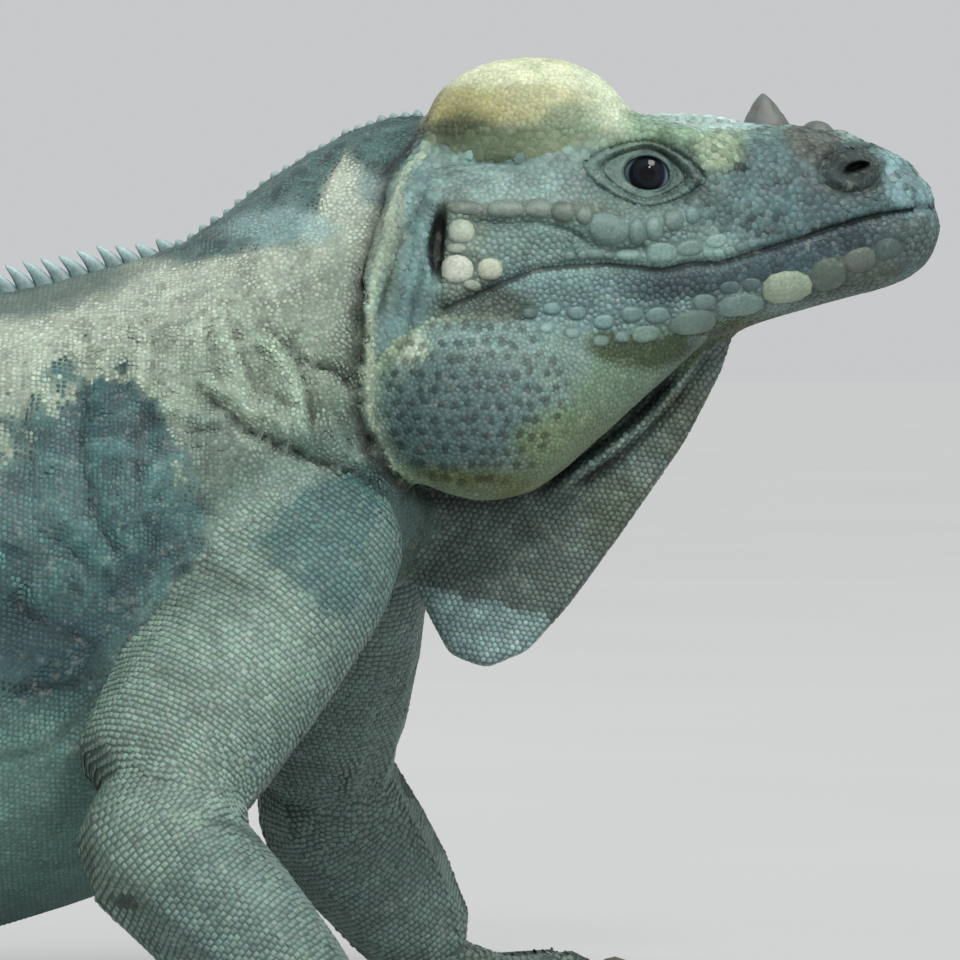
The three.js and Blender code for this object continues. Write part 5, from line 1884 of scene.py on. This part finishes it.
def horn_finish(name, base, heart, rough):
    """Horn with fine streaks up its length and a warmer heart."""
    nodes = Nodes(name)
    stretch = nodes.add("ShaderNodeMapping", _Scale=(1, 1, 0.18))
    nodes.link(nodes.place, stretch.inputs["Vector"])
    streak = nodes.noise(stretch.outputs["Vector"], 1900.0, 4.0, 0.65)
    cloud = nodes.noise(nodes.place, 330.0, 2.0)
    colour = nodes.blend(nodes.spread(cloud, 0.42, 0.62, 0.0, 0.85), base, heart)
    colour = nodes.tinted(colour, streak, 0.72, 1.22)
    nodes.surface(colour, nodes.spread(streak, 0.3, 0.7, rough - 0.08, rough + 0.12), 0.5)
    nodes.bumps(streak, 0.4, 0.0002)
    return nodes.material


def eye_finish(name, settings):
    """A dark wet eye: a round pupil, a brown iris with fine rays and a paler blue rim, which is partly the
    ball's own edge and partly a painted reflection.
    """
    nodes = Nodes(name)
    centre = to_frame(np.array([EYE_AT]))[0]
    middle = (-float(centre[0]) * 1000, 0, -float(centre[2]) * 1000)
    shift = nodes.add("ShaderNodeMapping", _Location=middle, _Scale=(1000, 0, 1000))
    nodes.link(nodes.place, shift.inputs["Vector"])
    length = nodes.add("ShaderNodeVectorMath", operation="LENGTH")
    nodes.link(shift.outputs["Vector"], length.inputs[0])
    away = length.outputs["Value"]
    rays = nodes.noise(shift.outputs["Vector"], 1.9, 5.0, 0.7)
    iris = nodes.blend(nodes.spread(rays, 0.35, 0.65), tuple(settings.iris), (0.008, 0.012, 0.016))
    pupil = settings.pupil * 1000
    iris = nodes.blend(nodes.spread(away, pupil - 0.2, pupil + 0.15), (0.003, 0.003, 0.004), iris)
    # The paler blue rim round the iris: partly the ball's own colour, partly a painted reflection of the
    # sky.
    colour = nodes.blend(nodes.spread(away, 3.45, 4.0), iris, (0.12, 0.19, 0.23))
    wet = nodes.spread(nodes.noise(nodes.place, 700.0), 0.3, 0.7, 0.01, 0.02)
    nodes.surface(colour, wet, 0.16)
    nodes.bumps(nodes.noise(nodes.place, 900.0), 0.02, 0.0001)
    return nodes.material


def floor_finish():
    nodes = Nodes("pale_floor")
    grainy = nodes.noise(nodes.place, 3.0, 3.0)
    colour = nodes.blend(nodes.spread(grainy, 0.3, 0.7), (0.475, 0.480, 0.485), (0.495, 0.500, 0.505))
    nodes.link(colour, nodes.shader.inputs["Base Color"])
    nodes.shader.inputs["Roughness"].default_value = 0.85
    return nodes.material


# ---- stage


def aim(thing, target):
    way = Vector(target) - thing.location
    thing.rotation_euler = way.to_track_quat("-Z", "Y").to_euler()


def lamp(name, place, target, size, power, colour):
    """A soft light: a wide sun for the key light, or a round panel."""
    sun = name == "key_light"
    data = bpy.data.lights.new(name, "SUN" if sun else "AREA")
    data.energy = power
    data.color = colour
    if sun:
        data.angle = size
    else:
        data.shape = "DISK"
        data.size = size
    light = bpy.data.objects.new(name, data)
    light.location = place
    bpy.context.scene.collection.objects.link(light)
    aim(light, target)


def build_stage(settings):
    scene = bpy.context.scene
    work = bmesh.new()
    bmesh.ops.create_grid(work, x_segments=2, y_segments=2, size=settings.floor_size / 2)
    ground = bpy.data.objects.new("floor", finished(work, "floor"))
    ground.data.materials.append(floor_finish())
    scene.collection.objects.link(ground)
    world = bpy.data.worlds.new("studio")
    world.use_nodes = True
    light = world.node_tree.nodes["Background"]
    light.inputs["Color"].default_value = tuple(settings.sky) + (1.0,)
    light.inputs["Strength"].default_value = settings.sky_strength
    scene.world = world
    target = Vector(settings.look_at)
    for name, offset, size, power, colour in (
        ("key_light", (0.42, -0.85, 1.05), math.radians(24), settings.key_power, (1.0, 0.985, 0.95)),
        ("catch_light", (0.30, -1.1, 0.75), 0.16, settings.rear_power * 0.4, (1, 1, 1)),
        ("rear_light", (-1.6, 1.4, 1.5), 1.4, settings.rear_power, (0.96, 0.98, 1.0)),
    ):
        lamp(name, target + Vector(offset), target, size, power, colour)
    data = bpy.data.cameras.new("camera")
    data.lens = settings.lens
    data.sensor_width = 36.0
    data.clip_start = 0.02
    data.clip_end = 200.0
    camera = bpy.data.objects.new("camera", data)
    tilt = settings.elevation
    camera.location = target + Vector((0, -math.cos(tilt), math.sin(tilt))) * settings.distance
    scene.collection.objects.link(camera)
    aim(camera, target)
    scene.camera = camera
    scene.view_settings.view_transform = "Standard"


# ---- settings, operators and panel


class IguanaSkin(PropertyGroup):
    """Sizes of the skin."""

    bridge: FloatProperty(
        name="Bridge", description="Growth of each solid that closes the gaps", default=0.0003, unit="LENGTH"
    )
    voxel: FloatProperty(
        name="Voxel", description="Grain of the joined skin", default=0.0013, unit="LENGTH"
    )
    coat_depth: FloatProperty(
        name="Coat", description="Depth of the skin inside the solids", default=0.0003, unit="LENGTH"
    )
    body_triangles: IntProperty(
        name="Triangles", description="Triangles before the head is made finer", default=54000, min=20000
    )
    # The painted shade of the skin between the scales.
    groove: FloatProperty(
        name="Groove", description="Shade of the skin between the scales", default=0.5, subtype="FACTOR"
    )


class IguanaScales(PropertyGroup):
    """Sizes of the coat of scales, times the usual ones."""

    seed: IntProperty(name="Seed", description="Start of the chance in the scales' places", default=7)
    spacing: FloatProperty(name="Spacing", description="Distance between scales", default=1.0, min=0.6)
    rise: FloatProperty(name="Rise", description="Height of a scale", default=1.0, min=0.1)
    cover: FloatProperty(
        name="Cover", description="Share of its cell that a scale fills", default=1.0, max=1.04
    )


class IguanaCrest(PropertyGroup):
    """Sizes of the crest, times the usual ones."""

    height: FloatProperty(name="Height", description="Height of a thorn", default=1.0, min=0.2)


class IguanaEyes(PropertyGroup):
    """Sizes and colours of the eyes."""

    ball_radius: FloatProperty(
        name="Radius", description="Radius of the eyeball", default=0.006, unit="LENGTH"
    )
    pupil: FloatProperty(name="Pupil", description="Radius of the pupil", default=0.0016, unit="LENGTH")
    iris: FloatVectorProperty(
        name="Iris", description="Colour of the iris", default=(0.004, 0.006, 0.009), subtype="COLOR", size=3
    )


class IguanaStage(PropertyGroup):
    """Camera, lights and floor."""

    look_at: FloatVectorProperty(
        name="Look at", description="Aim of the camera", default=(0.4855, -0.015, 0.112), unit="LENGTH",
        size=3,
    )
    distance: FloatProperty(
        name="Distance", description="Distance of the camera", default=1.5, unit="LENGTH"
    )
    elevation: FloatProperty(
        name="Elevation", description="Height of the camera", default=math.radians(1.0), unit="ROTATION"
    )
    lens: FloatProperty(
        name="Lens", description="Focal length in millimetres", default=281.25, min=10, max=500
    )
    floor_size: FloatProperty(name="Floor", description="Width of the floor", default=60.0, unit="LENGTH")
    sky: FloatVectorProperty(
        name="Sky", description="Light from all around", default=(0.97, 0.985, 1.0), subtype="COLOR", size=3
    )
    sky_strength: FloatProperty(
        name="Sky strength", description="Strength of the light from all around", default=0.59, min=0
    )
    key_power: FloatProperty(
        name="Key light", description="Strength of the main light", default=2.65, min=0
    )
    rear_power: FloatProperty(
        name="Rear light", description="Power of the light behind", default=8.0, min=0
    )


class IGUANA_OT_skin(Operator):
    """Joins the solids of flesh to one skin, with its folds, eyelids, nostrils, mouth and ears"""

    bl_idname = "iguana.skin"
    bl_label = "Skin"

    def execute(self, context):
        settings = context.scene.iguana_skin
        mesh, labels = skin_mesh(settings)
        surface = Surface(mesh, labels)
        # Painted shade between the scales and in the creases, laid into the skin's colour.
        painted_shading = painted_groove_shade(surface.points, labels, settings.groove) * painted_crease_shade(surface.points, labels)
        paint(mesh, markings(surface.points, labels) * painted_shading[:, None])
        finish = coat_finish("bare_skin", 0.62, 0.35, 2600.0)
        new_piece("skin", mesh, "skin", finish, *FLESH)
        MADE["surface"] = surface
        return {"FINISHED"}


class IGUANA_OT_scales(Operator):
    """Grows the coat of scales over the skin, with the large scales of the head"""

    bl_idname = "iguana.scales"
    bl_label = "Scales"

    def execute(self, context):
        finish = coat_finish("scales", 0.52, 0.45, 3400.0)
        for name, arrays in coat_pieces(MADE["surface"], context.scene.iguana_scales).items():
            slot = "casque" if name == "scales_casques" else "skin"
            new_piece(name, mesh_of(name, *arrays), slot, finish)
        return {"FINISHED"}


class IGUANA_OT_crest(Operator):
    """Stands the thorns of the crest along the back"""

    bl_idname = "iguana.crest"
    bl_label = "Crest"

    def execute(self, context):
        finish = coat_finish("thorn", 0.45, 0.5, 3000.0)
        new_piece("crest", crest_mesh(MADE["surface"], context.scene.iguana_crest), "skin", finish)
        return {"FINISHED"}


class IGUANA_OT_horns(Operator):
    """Puts the horns on the snout"""

    bl_idname = "iguana.horns"
    bl_label = "Horns"

    def execute(self, context):
        finish = horn_finish("snout_horn", (0.10, 0.125, 0.12), (0.12, 0.10, 0.085), 0.5)
        names = ["horn_rear", "horn_front"]
        new_piece("horns", joined("horns", map(horn_form, names)), "horn", finish, *names)
        return {"FINISHED"}


class IGUANA_OT_claws(Operator):
    """Puts a claw on each toe"""

    bl_idname = "iguana.claws"
    bl_label = "Claws"

    def execute(self, context):
        finish = horn_finish("claw", (0.05, 0.045, 0.038), (0.11, 0.085, 0.06), 0.38)
        names = [f"claw_{digit}_{k}" for digit in DIGITS for k in range(1, 6)]
        new_piece("claws", joined("claws", map(claw_form, names)), "claw", finish, *names)
        return {"FINISHED"}


class IGUANA_OT_eyes(Operator):
    """Sets the eyeballs behind the lids"""

    bl_idname = "iguana.eyes"
    bl_label = "Eyes"

    def execute(self, context):
        settings = context.scene.iguana_eyes
        finish = eye_finish("eye", settings)
        for side in SIDES:
            new_piece(f"eyeball_{side}", eye_mesh(side, settings.ball_radius), "eye", finish, f"eye_{side}")
        return {"FINISHED"}


class IGUANA_OT_stage(Operator):
    """Makes the floor, the lights and the camera"""

    bl_idname = "iguana.stage"
    bl_label = "Stage"

    def execute(self, context):
        build_stage(context.scene.iguana_stage)
        return {"FINISHED"}


class IGUANA_PT_panel(Panel):
    """Lists the pieces with their settings"""

    bl_idname = "IGUANA_PT_panel"
    bl_label = "Rhinoceros iguana"
    bl_space_type = "VIEW_3D"
    bl_region_type = "UI"
    bl_category = "Iguana"

    def draw(self, context):
        for operator in OPERATORS:
            box = self.layout.box()
            box.operator(operator.bl_idname)
            settings = getattr(context.scene, operator.bl_idname.replace(".", "_"), None)
            if settings:
                for key in settings.__annotations__:
                    box.prop(settings, key)


OPERATORS = [
    IGUANA_OT_stage, IGUANA_OT_skin, IGUANA_OT_scales, IGUANA_OT_crest, IGUANA_OT_horns, IGUANA_OT_claws,
    IGUANA_OT_eyes,
]
GROUPS = {
    "iguana_skin": IguanaSkin, "iguana_scales": IguanaScales, "iguana_crest": IguanaCrest,
    "iguana_eyes": IguanaEyes, "iguana_stage": IguanaStage,
}


CLASSES = [*GROUPS.values(), *OPERATORS, IGUANA_PT_panel]


def register():
    for entry in CLASSES:
        bpy.utils.register_class(entry)
    for name, group in GROUPS.items():
        setattr(bpy.types.Scene, name, PointerProperty(type=group))


def unregister():
    for name in GROUPS:
        delattr(bpy.types.Scene, name)
    for entry in reversed(CLASSES):
        bpy.utils.unregister_class(entry)


def main():
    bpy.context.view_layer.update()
    register()
    bpy.ops.iguana.stage()
    bpy.ops.iguana.skin()
    bpy.ops.iguana.scales()
    bpy.ops.iguana.crest()
    bpy.ops.iguana.horns()
    bpy.ops.iguana.claws()
    bpy.ops.iguana.eyes()


if __name__ == "__main__":
    main()
